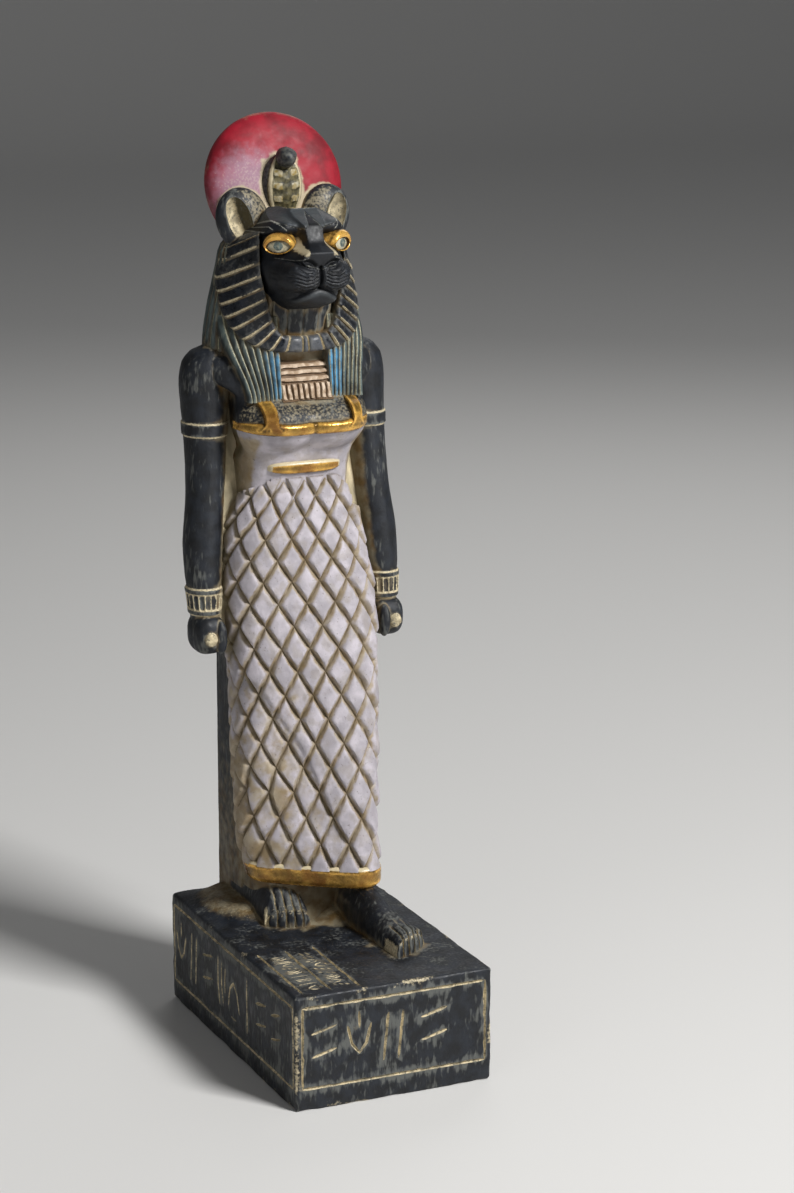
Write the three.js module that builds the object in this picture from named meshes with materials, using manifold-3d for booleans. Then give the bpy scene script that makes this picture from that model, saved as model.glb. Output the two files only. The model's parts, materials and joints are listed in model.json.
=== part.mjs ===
// A standing lion-headed goddess, one casting with its sun disc, back pillar and plinth.
// Millimetres, +Z up, the figure faces -Y and its own left is +X.
// The origin is the middle of the plinth's underside.
import * as THREE from "three";
import { mergeVertices } from "three/addons/utils/BufferGeometryUtils.js";
import Module from "manifold-3d";

const wasm = await Module();
wasm.setup();

// Driving sizes
const PLINTH_WIDTH = 74;
const PLINTH_DEPTH = 121;
const PLINTH_HEIGHT = 41.5;
const PLINTH_EDGE = 1.2; // rounding of the plinth's worn edges
const GROUND_RISE = 4.4; // how high the ground swells round the feet and the pillar
const PILLAR_WIDTH = 39;
const PILLAR_DEPTH = 24;
const PILLAR_HEIGHT = 206; // above the plinth's top
const PILLAR_SETBACK = 3.5; // from the plinth's back edge to the pillar's back face
const FIGURE_HEIGHT = 288; // from the plinth's top to the top of the sun disc
const NET_WIDTH = 10.5; // of one diamond of the dress's net
const NET_HEIGHT = 16.3;
const NET_DEPTH = 1.5; // relief of the net
const BAND_PROUD = 0.8; // how far the hem and bracelets stand out
const FRAME_LINE = 0.9; // width and depth of the frame lines cut into the plinth's sides
const FRAME_MARGIN = 2.6; // from an upright plinth edge to the frame line
const FRAME_TOP = 4.2; // from the plinth's top to the frame line
const FRAME_FOOT = 8; // from the plinth's underside to the frame line

// The figure is drawn at this height, and its pose, proportions and carving are shares of it.
const DRAWN_HEIGHT = 288;
const SHARE = FIGURE_HEIGHT / DRAWN_HEIGHT;
const DRAWN_BACK = 57; // where the drawing has the pillar's back face
const PILLAR_BACK = PLINTH_DEPTH / 2 - PILLAR_SETBACK;
const SIDES = [-1, 1];

// Placements: figure forms are drawn round the middle of the plinth's top, plinth forms round its underside.
const IN_FIGURE = new THREE.Matrix4()
  .makeScale(SHARE, SHARE, SHARE)
  .setPosition(0, PILLAR_BACK - DRAWN_BACK * SHARE, PLINTH_HEIGHT);
const IN_PLINTH = new THREE.Matrix4();

// Helpers

// A closed geometry as a solid in its place. A mirrored one has its faces turned outwards.
function solidOf(geometry, placement = IN_FIGURE) {
  const bare = geometry.clone().applyMatrix4(placement);
  bare.deleteAttribute("normal");
  bare.deleteAttribute("uv");
  const merged = mergeVertices(bare, 1e-4);
  const index = new Uint32Array(merged.index.array);
  const build = () =>
    new wasm.Manifold(
      new wasm.Mesh({
        numProp: 3,
        vertProperties: new Float32Array(merged.attributes.position.array),
        triVerts: index,
      }),
    );
  const made = build();
  if (made.volume() > 0) return made;
  for (let i = 0; i < index.length; i += 3) [index[i], index[i + 1]] = [index[i + 1], index[i]];
  return build();
}

// Moves every vertex of a geometry to place(x, y, z), which returns a new point.
function moved(geometry, place) {
  const position = geometry.attributes.position;
  for (let i = 0; i < position.count; i++)
    position.setXYZ(i, ...place(position.getX(i), position.getY(i), position.getZ(i)));
  return geometry;
}

// A closed cylinder of `around` by `along` faces, each vertex moved to place(angle, t, rim).
// angle is 0 at the front and grows towards +X, t runs from 0 at the foot to 1, rim is 0 at a cap's middle.
function sleeve(around, along, place) {
  const tube = new THREE.CylinderGeometry(1, 1, 1, around, along, false, Math.PI);
  return moved(tube, (x, y, z) => place(Math.atan2(x, z), y + 0.5, Math.hypot(x, z)));
}

// A block of `across` by `up` faces, each vertex moved to place(u, v, front), with u and v from -1 to 1.
function slab(across, up, place) {
  const box = new THREE.BoxGeometry(2, 2, 2, across, 1, up);
  return solidOf(moved(box, (u, depth, v) => place(u, v, depth < 0)));
}

// Turns a sleeve's diagonals so that they run through the vertices whose column and row add up to even.
function turnDiagonals(geometry, around, along) {
  const index = geometry.index;
  for (let column = 0; column < around; column++)
    for (let row = 0; row < along; row++) {
      if ((column + row) % 2) continue;
      const first = 6 * (column * along + row);
      const [a, b, d] = [0, 1, 2].map((k) => index.getX(first + k));
      const c = index.getX(first + 4);
      [a, b, c, a, c, d].forEach((vertex, k) => index.setX(first + k, vertex));
    }
  return geometry;
}

// A smooth function through [at, value] pairs, flat beyond its ends.
function through(pairs) {
  const slope = (i) => (pairs[i + 1][1] - pairs[i][1]) / (pairs[i + 1][0] - pairs[i][0]);
  const last = pairs.length - 1;
  const tangent = pairs.map((_, i) => {
    if (i === 0 || i === last) return 0;
    const [before, after] = [slope(i - 1), slope(i)];
    return before * after <= 0 ? 0 : (2 * before * after) / (before + after);
  });
  return (at) => {
    if (at <= pairs[0][0]) return pairs[0][1];
    if (at >= pairs[last][0]) return pairs[last][1];
    let i = 0;
    while (at > pairs[i + 1][0]) i++;
    const step = pairs[i + 1][0] - pairs[i][0];
    const s = (at - pairs[i][0]) / step;
    return (
      pairs[i][1] * (1 + 2 * s) * (1 - s) ** 2 +
      tangent[i] * step * s * (1 - s) ** 2 +
      pairs[i + 1][1] * s * s * (3 - 2 * s) +
      tangent[i + 1] * step * s * s * (s - 1)
    );
  };
}

// Columns of a table of stations, each as a smooth function of the first column.
function profiles(names, stations) {
  const made = {};
  names.forEach((name, k) => (made[name] = through(stations.map((row) => [row[0], row[k + 1]]))));
  return made;
}

const mix = (a, b, t) => a + (b - a) * t;
const clamp01 = (t) => Math.min(1, Math.max(0, t));
const smooth = (t) => clamp01(t) ** 2 * (3 - 2 * clamp01(t));
const union = (solids) => wasm.Manifold.union(solids);

// A superellipse section at an angle from the front, as an [x, y] offset from its middle.
function superellipse(angle, a, b, power) {
  const bend = (value) => Math.sign(value) * Math.abs(value) ** (2 / power);
  return [a * bend(Math.sin(angle)), -b * bend(Math.cos(angle))];
}

// A solid lofted through level sections: section(t) gives z, middle x and y, half sizes a and b, and power.
function loft(around, along, section) {
  const geometry = sleeve(around, along, (angle, t, rim) => {
    const s = section(t);
    const [x, y] = superellipse(angle, s.a, s.b, s.power ?? 2);
    return [s.x + rim * x, s.y + rim * y, s.z];
  });
  return solidOf(geometry);
}

// An ellipsoid with its poles up and down, turned by Euler angles.
function ellipsoid(centre, radii, around = 16, along = 10, turn = [0, 0, 0]) {
  const ball = new THREE.SphereGeometry(1, around, along);
  ball.rotateX(Math.PI / 2);
  ball.scale(...radii);
  const matrix = new THREE.Matrix4().makeRotationFromEuler(new THREE.Euler(...turn));
  return solidOf(ball.applyMatrix4(matrix.setPosition(...centre)));
}

// The dress and its net of diamonds

const HEM_BOTTOM = 15.5;
const HEM_TOP = 22.8;
const DRESS_TOP = 163;
const PLAN_MIDDLE = 28;
const WRAP = 20; // how tightly the dress wraps the two legs and the body
const RAISED_SHARE = 0.7; // of the net's relief above the dress's plan, the rest being cut below it
const NET_START = 3.2; // along the cloth from the plane x = 0 to a column of the net's crossings
const NET_TAPER = 0.155; // share by which the diamonds are higher at the hem, and lower at the top

// Plan of the legs and the body between them, height by height.
const legs = profiles(
  ["leftX", "leftY", "leftA", "leftB", "rightX", "rightY", "rightA", "rightB", "bodyA", "bodyY", "bodyB"],
  [
    [14, 13, 1.5, 7.6, 8.4, -12.5, 20.5, 8.3, 9, 13, 22, 14],
    [22, 13, 2, 7.6, 8.4, -12.5, 21, 9.8, 9.6, 13.5, 22.5, 14],
    [34, 13, 3.5, 7.2, 8.2, -12.7, 21.5, 12.1, 11, 15, 23, 14.5],
    [50, 13.3, 6.5, 8.5, 8.8, -12.7, 23, 12.4, 12.2, 17, 24.5, 15],
    [90, 12.8, 14.5, 12.2, 10.2, -12.9, 26, 12.1, 13.4, 19.5, 27.5, 16.5],
    [118, 11.9, 21, 15.1, 11.4, -11.9, 28, 15, 14.2, 20.5, 29.5, 16.5],
    [140, 8.8, 26, 15.7, 12.4, -9.8, 29.5, 16, 14.6, 19.5, 30, 15.5],
    [158, 4.8, 29, 18.4, 13.2, -6, 30, 14.2, 13.6, 18.6, 30.5, 14],
    [168, 3, 29.5, 19, 12.8, -4, 30, 14.5, 13, 18.4, 30.5, 13.6],
  ],
);

// One point of the taut outline and its normal, from the power sum of how far the three shapes reach.
function outlinePoint(direction, z) {
  const [nx, ny] = [Math.sin(direction), -Math.cos(direction)];
  const shapes = [
    [legs.leftX(z), legs.leftY(z), legs.leftA(z), legs.leftB(z)],
    [legs.rightX(z), legs.rightY(z), legs.rightA(z), legs.rightB(z)],
    [0, legs.bodyY(z), legs.bodyA(z), legs.bodyB(z)],
  ];
  let sum = 0;
  let slopeSum = 0;
  for (const [cx, cy, a, b] of shapes) {
    const round = Math.hypot(a * nx, b * ny);
    const reach = cx * nx + (cy - PLAN_MIDDLE) * ny + round;
    const slope = -cx * ny + (cy - PLAN_MIDDLE) * nx - ((a * a - b * b) * nx * ny) / round;
    sum += reach ** WRAP;
    slopeSum += reach ** (WRAP - 1) * slope;
  }
  const reach = sum ** (1 / WRAP);
  const slope = (reach / sum) * slopeSum;
  return { x: reach * nx - slope * ny, y: PLAN_MIDDLE + reach * ny + slope * nx, nx, ny };
}

// The outline at a height as points measured along the cloth, from 0 at the front of the plane x = 0.
function measuredOutline(z) {
  const steps = 90;
  const points = [];
  for (let i = -steps; i <= steps; i++) points.push(outlinePoint((i / steps) * Math.PI, z));
  let length = 0;
  points.forEach((p, i) => {
    if (i) length += Math.hypot(p.x - points[i - 1].x, p.y - points[i - 1].y);
    p.s = length;
  });
  const front = points.findIndex((p, i) => i && points[i - 1].x < 0 && p.x >= 0 && p.y < PLAN_MIDDLE);
  const [p, q] = [points[front - 1], points[front]];
  const zero = mix(p.s, q.s, -p.x / (q.x - p.x));
  points.forEach((point) => (point.s -= zero));
  return points;
}

// The point of a measured outline at a distance s along the cloth.
function pointAt(points, s) {
  let i = 1;
  while (i < points.length - 1 && points[i].s < s) i++;
  const [p, q] = [points[i - 1], points[i]];
  const t = clamp01((s - p.s) / (q.s - p.s));
  return { x: mix(p.x, q.x, t), y: mix(p.y, q.y, t), nx: mix(p.nx, q.nx, t), ny: mix(p.ny, q.ny, t) };
}

// The dress: each node of its net is a vertex, sunk where the lines cross and raised in a diamond's middle.
function dress() {
  const columns = 13; // half diamonds from the front to the middle of the back, on each side
  const backColumns = 3; // of which these stretch across the back
  const rows = Math.round((2 * (DRESS_TOP - HEM_TOP)) / NET_HEIGHT);
  const evenColumns = columns - backColumns;
  const geometry = sleeve(2 * columns, rows, (angle, t, rim) => {
    const z = mix(HEM_TOP - 1, DRESS_TOP, t * (1 + NET_TAPER * (1 - t)));
    const points = measuredOutline(z);
    const column = Math.round((angle / Math.PI) * columns);
    const row = Math.round(t * rows);
    const end = column < 0 ? points[0].s : points[points.length - 1].s;
    const step = Math.min(NET_WIDTH / 2, (Math.abs(end) - NET_START) / columns);
    const away = Math.abs(column);
    const lastEven = NET_START + Math.sign(column) * evenColumns * step;
    const stretched = mix(lastEven, end, (away - evenColumns) / backColumns);
    const p = pointAt(points, away <= evenColumns ? NET_START + column * step : stretched);
    const raised = (column + row) % 2 ? NET_DEPTH * RAISED_SHARE : NET_DEPTH * (RAISED_SHARE - 1);
    const out = away > evenColumns ? 0 : raised;
    return [rim * (p.x + out * p.nx), mix(PLAN_MIDDLE, p.y + out * p.ny, rim), z];
  });
  return solidOf(turnDiagonals(geometry, 2 * columns, rows));
}

// A block that follows the dress's plan between two heights, `out` proud of it.
function wrapped(bottom, top, out, around) {
  const geometry = sleeve(around, 1, (angle, t, rim) => {
    const z = mix(bottom, top, t);
    const p = outlinePoint(angle, z);
    return [rim * (p.x + out * p.nx), mix(PLAN_MIDDLE, p.y + out * p.ny, rim), z];
  });
  return solidOf(geometry);
}

// Torso, bodice and belt

const TORSO_BOTTOM = 150;
const TORSO_TOP = 213;
const torso = profiles(
  ["a", "front", "back", "power"],
  [
    [150, 20, 15.8, 46, 2.2],
    [160, 20.4, 16.4, 46, 2.3],
    [167, 20.8, 16, 46, 2.5],
    [172, 22.4, 15.4, 46, 2.8],
    [177, 24.4, 12.8, 46, 3.1],
    [182, 25.6, 11.6, 46, 3.3],
    [185.5, 25.8, 12, 46.5, 3.3],
    [190.5, 26, 15.4, 47, 3.2],
    [194.5, 28, 17, 47.5, 2.9],
    [198, 30.6, 18.4, 48, 2.6],
    [204, 31.6, 22, 48, 2.5],
    [208.5, 28, 27.5, 47, 2.4],
    [213, 16, 29, 46, 2.2],
  ],
);
const BREAST = { x: 10.5, z: 182.5, wide: 13.5, high: 9.4, deep: 4.6, power: 2.4, fullness: 0.7 };
const FLANK = 0.16; // share by which the torso narrows from its front to its back, under the arms

// The front of the torso at a place. Beyond its sides it is the sides' own depth.
function torsoFront(x, z) {
  const power = torso.power(z);
  const b = (torso.back(z) - torso.front(z)) / 2;
  const share = clamp01(Math.abs(x) / torso.a(z));
  const [dx, dz] = [Math.abs(Math.abs(x) - BREAST.x) / BREAST.wide, Math.abs(z - BREAST.z) / BREAST.high];
  const within = clamp01(1 - dx ** BREAST.power - dz ** BREAST.power);
  const bust = BREAST.deep * within ** BREAST.fullness * (1 - share ** 6);
  return torso.front(z) + b - b * (1 - share ** power) ** (1 / power) - bust;
}

function torsoSolid() {
  const geometry = sleeve(24, 10, (angle, t, rim) => {
    const z = mix(TORSO_BOTTOM, TORSO_TOP, t);
    const [front, back] = [torso.front(z), torso.back(z)];
    const [x, y] = superellipse(angle, torso.a(z), (back - front) / 2, torso.power(z));
    const middle = (front + back) / 2;
    const deep = y < 0 ? torsoFront(x, z) : middle + y;
    const narrow = 1 - FLANK * smooth((deep - 18) / 12) * smooth((z - 168) / 6) * smooth((197 - z) / 5);
    return [rim * narrow * x, mix(middle, deep, rim), z];
  });
  return solidOf(geometry);
}

// A strip laid on the torso's front: place(u, v) gives its x and z, and it stands `out` or out(v) proud.
function strip(across, up, place, out) {
  const sunk = 4;
  return slab(across, up, (u, v, front) => {
    const [x, z] = place(u, v);
    const round = (typeof out === "function" ? out(v) : out) * Math.sqrt(1 - 0.8 * v * v);
    return [x, torsoFront(x, z) + (front ? -round : sunk), z];
  });
}

// The gold edge of the bodice, its two straps, which flare where they meet it, and the belt.
const EDGE = { half: 24.6, z: 181.8, high: 2.1, upturn: 0.6, proud: 1.8 };
const STRAP = { x: 16.2, half: 1.9, flare: 1.6, z: 186.8, high: 4.8, proud: 2.2, lift: 2.4 };
const BELT = { half: 13.8, z: 166.8, high: 2.2, taper: 0.6, proud: 1.8 };

function bodice() {
  const edgePlace = (u, v) => [EDGE.half * u, EDGE.z + EDGE.high * v + EDGE.upturn * u * u];
  const beltPlace = (u, v) => [BELT.half * u, BELT.z + (BELT.high - BELT.taper * u * u) * v];
  const strapPlace = (side, u, v) => {
    const half = STRAP.half + STRAP.flare * smooth(-v);
    return [side * STRAP.x + half * u, STRAP.z + STRAP.high * v];
  };
  const strapProud = (v) => STRAP.proud + STRAP.lift * smooth((v + 0.6) / 1.6);
  return [
    strip(14, 2, edgePlace, EDGE.proud),
    strip(8, 2, beltPlace, BELT.proud),
    ...SIDES.map((side) => strip(2, 3, (u, v) => strapPlace(side, u, v), strapProud)),
  ];
}

// Arms, fists and the web of stone beside them

const arm = profiles(
  ["x", "y", "r", "deep"],
  [
    [108, 34.4, 27.8, 5.0, 1.15],
    [115, 34.4, 28.2, 5.2, 1.15],
    [122, 34.4, 29, 5.7, 1.15],
    [129, 34.2, 30, 6.5, 1.15],
    [141, 33.5, 31.5, 7.0, 1.15],
    [154, 32.1, 33, 6.7, 1.2],
    [166, 31.1, 34.5, 7.0, 1.2],
    [180, 30.4, 36.5, 7.7, 1.15],
    [189, 30.0, 37.5, 8.5, 1.1],
    [196.5, 29.6, 38, 9.0, 1.1],
    [202, 29, 38, 8.7, 1.1],
    [206.5, 27.6, 38, 6.9, 1.1],
    [209.5, 26.4, 38, 3, 1.1],
  ],
);
const SHOULDER_TOP = 209.5;
const WRIST = 108;
const ARMLET = { bottom: 177.4, top: 182 };
const BRACELET = { bottom: 114.5, top: 124 };
const FIST = { x: 34.6, y: 26.4, z: 107, a: 5.6, b: 8.2, c: 7.6 };
const THUMB = { inward: 3.1, ahead: 7.2, below: 1.2, radii: [2.5, 3.2, 6.3] };
const ROD = { radius: 2.6, length: 18.6, outward: 0.9, below: 1 };
const WEB = { bottom: 102, top: 199, inner: 12, setback: 1.5, back: 50, behind: 4 };

// A length of an arm, `out` proud of it, with its rows closer together towards the shoulder.
function armTube(side, bottom, top, out, along) {
  return loft(10, along, (t) => {
    const z = mix(bottom, top, t ** 0.75);
    const r = arm.r(z) + out;
    return { z, x: side * arm.x(z), y: arm.y(z), a: r, b: r * arm.deep(z) };
  });
}

// A closed fist round a short rod, whose ends show in front and behind.
function fist(side) {
  const square = (value) => Math.sign(value) * Math.abs(value) ** 0.7;
  const block = moved(new THREE.SphereGeometry(1, 10, 7), (x, y, z) => [
    side * FIST.x + FIST.a * square(x),
    FIST.y - FIST.b * square(z),
    FIST.z + FIST.c * square(y),
  ]);
  const thumbMiddle = [side * (FIST.x - THUMB.inward), FIST.y - THUMB.ahead, FIST.z - THUMB.below];
  const thumb = ellipsoid(thumbMiddle, THUMB.radii, 6, 5);
  const rod = new THREE.CylinderGeometry(ROD.radius, ROD.radius, ROD.length, 7);
  rod.translate(side * (FIST.x + ROD.outward), FIST.y, FIST.z - ROD.below);
  return [solidOf(block), thumb, solidOf(rod)];
}

// Stone left between an arm and the body, set back from the front of both.
function web(side) {
  const box = new THREE.BoxGeometry(2, 2, 2, 1, 1, 4);
  const geometry = moved(box, (u, v, w) => {
    const z = mix(WEB.bottom, WEB.top, (w + 1) / 2);
    const out = (side * u + 1) / 2;
    const x = mix(WEB.inner, arm.x(z), out);
    return [side * x, v < 0 ? arm.y(z) - WEB.setback : mix(WEB.back, arm.y(z) + WEB.behind, out), z];
  });
  return solidOf(geometry);
}

function armsSolids() {
  return SIDES.flatMap((side) => [
    armTube(side, WRIST, SHOULDER_TOP, 0, 10),
    armTube(side, ARMLET.bottom, ARMLET.top, BAND_PROUD, 1),
    armTube(side, BRACELET.bottom, BRACELET.top, BAND_PROUD, 1),
    ...fist(side),
    web(side),
  ]);
}

// Feet and the stone that fills in between and behind them

const TOES = 5;
const TOE_CUT = 1.7; // depth of the grooves between the toes
const TOE_SHARE = 0.22; // of a foot's length
const SUNK = 2; // how far feet and fill reach into the plinth
const FILL = { x: -1, y: 30, a: 18, b: 20, power: 3 }; // the stone between and behind the ankles
const HEEL_LAP = 4; // how far the forward heel reaches into it
const FORWARD = { front: -41, back: FILL.y - FILL.b + HEEL_LAP, slant: 8.5 };
const REAR = { front: 2.6, back: 44.6, slant: 5 };
const forwardFoot = profiles(
  ["height", "half", "x"],
  [
    [0, 6.2, 6.6, 17.6],
    [0.1, 7.8, 7.0, 17.8],
    [0.26, 8.6, 6.6, 17],
    [0.44, 11, 5.6, 15.6],
    [0.61, 14.5, 5.4, 14.6],
    [0.87, 16.5, 6, 14],
    [1, 16.5, 6, 14],
  ],
);
const rearFoot = profiles(
  ["height", "half", "x"],
  [
    [0, 6.6, 7, -11.2],
    [0.1, 9.6, 7.6, -11.4],
    [0.22, 14, 7.4, -11.6],
    [0.4, 16, 7.4, -12],
    [1, 16, 7, -12.4],
  ],
);

// A bare foot from its toes back to its heel. slant is how far the little toe lies behind the big toe.
function foot(shape, { front, back, slant }, side) {
  const box = new THREE.BoxGeometry(2, 2, 2, 2 * TOES, 7, 1);
  const geometry = moved(box, (u, v, w) => {
    const share = ((v + 1) / 2) ** 1.5;
    const toe = Math.abs(Math.sin((TOES / 2) * Math.PI * (u + 1)));
    const ahead = smooth(1 - share / TOE_SHARE);
    const outer = (1 + side * u) / 2;
    const y = mix(front, back, share) + ahead * (slant * outer + 1.3 * (1 - toe) + 1.6 * u * u);
    const top = shape.height(share) * (1 - 0.45 * Math.abs(u) ** 3) - TOE_CUT * ahead * (1 - toe);
    return [shape.x(share) + u * shape.half(share), y, w > 0 ? top : -SUNK];
  });
  return solidOf(geometry);
}

function feet() {
  const fill = loft(24, 1, (t) => ({ ...FILL, z: mix(-SUNK, HEM_BOTTOM + SUNK, t) }));
  return [foot(forwardFoot, FORWARD, 1), foot(rearFoot, REAR, -1), fill];
}

// Face

const FACE_BOTTOM = 219;
const FACE_TOP = 257.7;
const FACE_BACK = 37;
const HEAD_SLOPE = 5; // how far the top of the head falls from the brow to its back
const FACE_TURN = 5; // how far the outer edge of the face turns back
const SOFTEN = 0.85; // per millimetre: how sharply neighbouring forms of the face stay apart
const FALL = 12; // how steeply a form of the face falls away outside its reach
const NOSE_SIDE = 2.8; // how steeply the sides of the nose fall back

// Forms of the face: middle x and z, half width, half height, depth of its base, how far it rises, and power.
const FORMS = [
  { x: 0, z: 239, wide: 17.2, high: 19, base: 26, rise: 15.8, power: 2.6 },
  { x: 0, z: 239, wide: 11.5, high: 10, base: 15, rise: 8.6, power: 2.2 },
  { x: 5.4, z: 235.5, wide: 8, high: 5.7, base: 9.5, rise: 9.9, power: 2.7 },
  { x: 0, z: 229.2, wide: 10.2, high: 5.4, base: 14, rise: 11, power: 2.6 },
  { x: 9.6, z: 251.4, wide: 7, high: 2.6, base: 13.4, rise: 3.4, power: 2 },
];
const nose = profiles(
  ["front", "half"],
  [
    [231, 26, 0.6],
    [236.4, 12, 0.6],
    [238.4, 4.4, 3],
    [239.8, 1.5, 5.4],
    [241.4, 0.7, 7],
    [243.9, 0, 5.4],
    [245.4, 2.4, 3.6],
    [247.2, 5.2, 3],
    [249.8, 6.8, 3.1],
    [252.6, 8, 3.6],
    [254.4, 11.5, 4.6],
    [256, 15.5, 5],
    [257.7, 18, 5],
  ],
);
const jaw = through([
  [219, 7],
  [223, 10],
  [229, 13],
  [238, 15.4],
  [245, 16.6],
  [248, 15.8],
  [251, 14.2],
  [253.4, 12.4],
  [255.4, 10.8],
  [257, 8.2],
  [257.7, 6],
]);

// The front of the face at a place: its forms blended, the nearest to the front counting most.
function faceFront(x, z) {
  const away = Math.abs(x);
  const depths = FORMS.map((form) => {
    const [across, up] = [Math.abs(away - form.x) / form.wide, Math.abs(z - form.z) / form.high];
    const reach = across ** form.power + up ** form.power;
    return reach < 1 ? form.base - form.rise * Math.sqrt(1 - reach) : form.base + FALL * (Math.sqrt(reach) - 1);
  });
  depths.push(nose.front(z) + NOSE_SIDE * Math.max(0, away - nose.half(z)));
  const sum = depths.reduce((total, depth) => total + Math.exp(-SOFTEN * depth), 0);
  return -Math.log(sum) / SOFTEN;
}

function face() {
  return slab(16, 24, (u, v, front) => {
    const z = mix(FACE_BOTTOM, FACE_TOP, Math.sin((Math.PI / 2) * (0.5 + v / 2)) ** 0.9);
    const x = jaw(z) * (0.6 * u + 0.4 * u * Math.abs(u));
    const turn = FACE_TURN * (Math.max(0, Math.abs(u) - 0.7) / 0.3) ** 2;
    const back = z - HEAD_SLOPE * smooth((z - 246) / (FACE_TOP - 246));
    return front ? [x, Math.min(faceFront(x, z) + turn, FACE_BACK - 1), z] : [x, FACE_BACK, back];
  });
}

const EYE = { x: 10.8, y: 12.6, z: 246.2, turn: 0.46, rim: [6, 2.5, 3.7], ball: [4.4, 3.1, 2.3] };

function eyes() {
  return SIDES.flatMap((side) => {
    const middle = [side * EYE.x, EYE.y, EYE.z];
    const turn = [0, 0, side * EYE.turn];
    return [ellipsoid(middle, EYE.rim, 9, 5, turn), ellipsoid(middle, EYE.ball, 6, 3, turn)];
  });
}

// The mane's ring of locks round the face, from one ear under the chin to the other.

const LOCKS = 24;
const LOCK_DEPTH = 1.4;
const LOCK_SCALLOP = 0.05; // how far the locks' ends stand out, as a share of their length
const MANE_ROUND = 1.2; // rounding of the ring's two edges
const MANE_BACK = [9, 4]; // depth of stone behind the ring under the chin and at the ears
const ring = profiles(
  ["innerX", "innerY", "innerZ", "outerX", "outerY", "outerZ"],
  [
    [0, 0, 17.6, 213.0, 0, 16.8, 207.6],
    [0.16, 7, 17.6, 213.6, 9.6, 17.8, 207.9],
    [0.34, 11.4, 17.6, 218.2, 19.2, 21, 211.2],
    [0.5, 13.4, 18, 225, 24.2, 26.4, 217.4],
    [0.62, 14.6, 18.2, 230.4, 25.6, 30.4, 223.4],
    [0.76, 15.8, 18.8, 237.4, 25.8, 34.4, 230.4],
    [1, 15.6, 20, 250, 22, 37.5, 243.2],
  ],
);

function mane() {
  const geometry = sleeve(6, 2 * LOCKS, (angle, t, rim) => {
    const sweep = 2 * t - 1;
    const [side, away] = [Math.sign(sweep), Math.abs(sweep)];
    const crest = Math.round(t * 2 * LOCKS) % 2;
    const across = 0.5 - 0.5 * Math.sign(Math.sin(angle)) * Math.abs(Math.sin(angle)) ** 0.8 * rim;
    const scallop = across * LOCK_SCALLOP * crest;
    const rise = LOCK_DEPTH * crest + MANE_ROUND * (0.75 - (2 * across - 1) ** 4);
    const deep = Math.cos(angle) > 0 ? -rise * rim : mix(...MANE_BACK, away ** 3) * rim;
    return [
      side * mix(ring.innerX(away), ring.outerX(away), across + scallop),
      mix(ring.innerY(away), ring.outerY(away), across) + (Math.abs(Math.cos(angle)) < 0.1 ? 0 : deep),
      mix(ring.innerZ(away), ring.outerZ(away), across + scallop),
    ];
  });
  return solidOf(geometry);
}

// Ears: rounded mounds with a tall hollow, their walls thick towards the brow.

const EAR = { x: 15.4, y: 36, z: 252.4, lean: 0.34 };
const EAR_SIZE = [9.6, 5.6, 11.4];
const HOLLOW = { x: 18.2, y: 31, z: 253.2 };
const HOLLOW_SIZE = [4.2, 4.8, 8.6];

function ear(side) {
  const turn = [0, side * EAR.lean, 0];
  const outer = ellipsoid([side * EAR.x, EAR.y, EAR.z], EAR_SIZE, 12, 7, turn);
  return outer.subtract(ellipsoid([side * HOLLOW.x, HOLLOW.y, HOLLOW.z], HOLLOW_SIZE, 8, 6, turn));
}

// The wig, ribbed with strands, and its two lappets over the chest.

const STRANDS = 30;
const STRAND_DEPTH = 0.8;
const WIG_BOTTOM = 190;
const WIG_TOP = 251;
const wig = profiles(
  ["a", "front", "back"],
  [
    [190, 26, 34, 50],
    [203, 29.4, 27, 50.5],
    [209, 29.4, 25, 50.5],
    [222, 27.6, 25, 50],
    [236, 24.4, 25, 49],
    [242, 23, 28, 48],
    [247, 19, 32, 47],
    [251, 14, 36, 45],
  ],
);

function wigShell() {
  const geometry = sleeve(2 * STRANDS, 5, (angle, t, rim) => {
    const z = mix(WIG_BOTTOM, WIG_TOP, t);
    const [front, back] = [wig.front(z), wig.back(z)];
    const rib = Math.round((angle / Math.PI) * STRANDS) % 2 ? STRAND_DEPTH / 2 : -STRAND_DEPTH / 2;
    const fade = 1 - smooth((t - 0.8) * 5);
    const [x, y] = superellipse(angle, wig.a(z) + rib * fade, (back - front) / 2 + rib * fade, 2.3);
    return [rim * x, (front + back) / 2 + rim * y, z];
  });
  return solidOf(geometry);
}

// Each pair of a lappet's sizes is at its foot and at its top.
const LAPPET = {
  z: [191, 220],
  ribs: 8,
  inner: 9,
  outer: [21.6, 27],
  innerFront: [15.6, 20],
  outerFront: [15.8, 34],
  back: 38,
};

function lappet(side) {
  return slab(2 * LAPPET.ribs, 3, (u, v, front) => {
    const t = (v + 1) / 2;
    const across = (1 + side * u) / 2;
    const x = mix(LAPPET.inner, mix(...LAPPET.outer, smooth(t * 1.2)), across);
    const crest = Math.round((u + 1) * LAPPET.ribs) % 2;
    const near = mix(mix(...LAPPET.innerFront, t), mix(...LAPPET.outerFront, t ** 1.2), across ** 1.8);
    return [side * x, front ? near - STRAND_DEPTH * crest : LAPPET.back, mix(...LAPPET.z, t)];
  });
}

// The collar between the lappets: a plate with two bars over a row of beads.
const PLATE = { half: 9.6, z: [190.8, 203.6], proud: 0.7 };
const BARS = [
  { half: 9.4, z: [197.2, 199.2], proud: 1.9 },
  { half: 9.4, z: [200.6, 202.8], proud: 1.9 },
];
const BEAD = { each: 9, pitch: 2.05, half: 0.7, z: [191.2, 196.4], proud: 1.6 };

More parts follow.
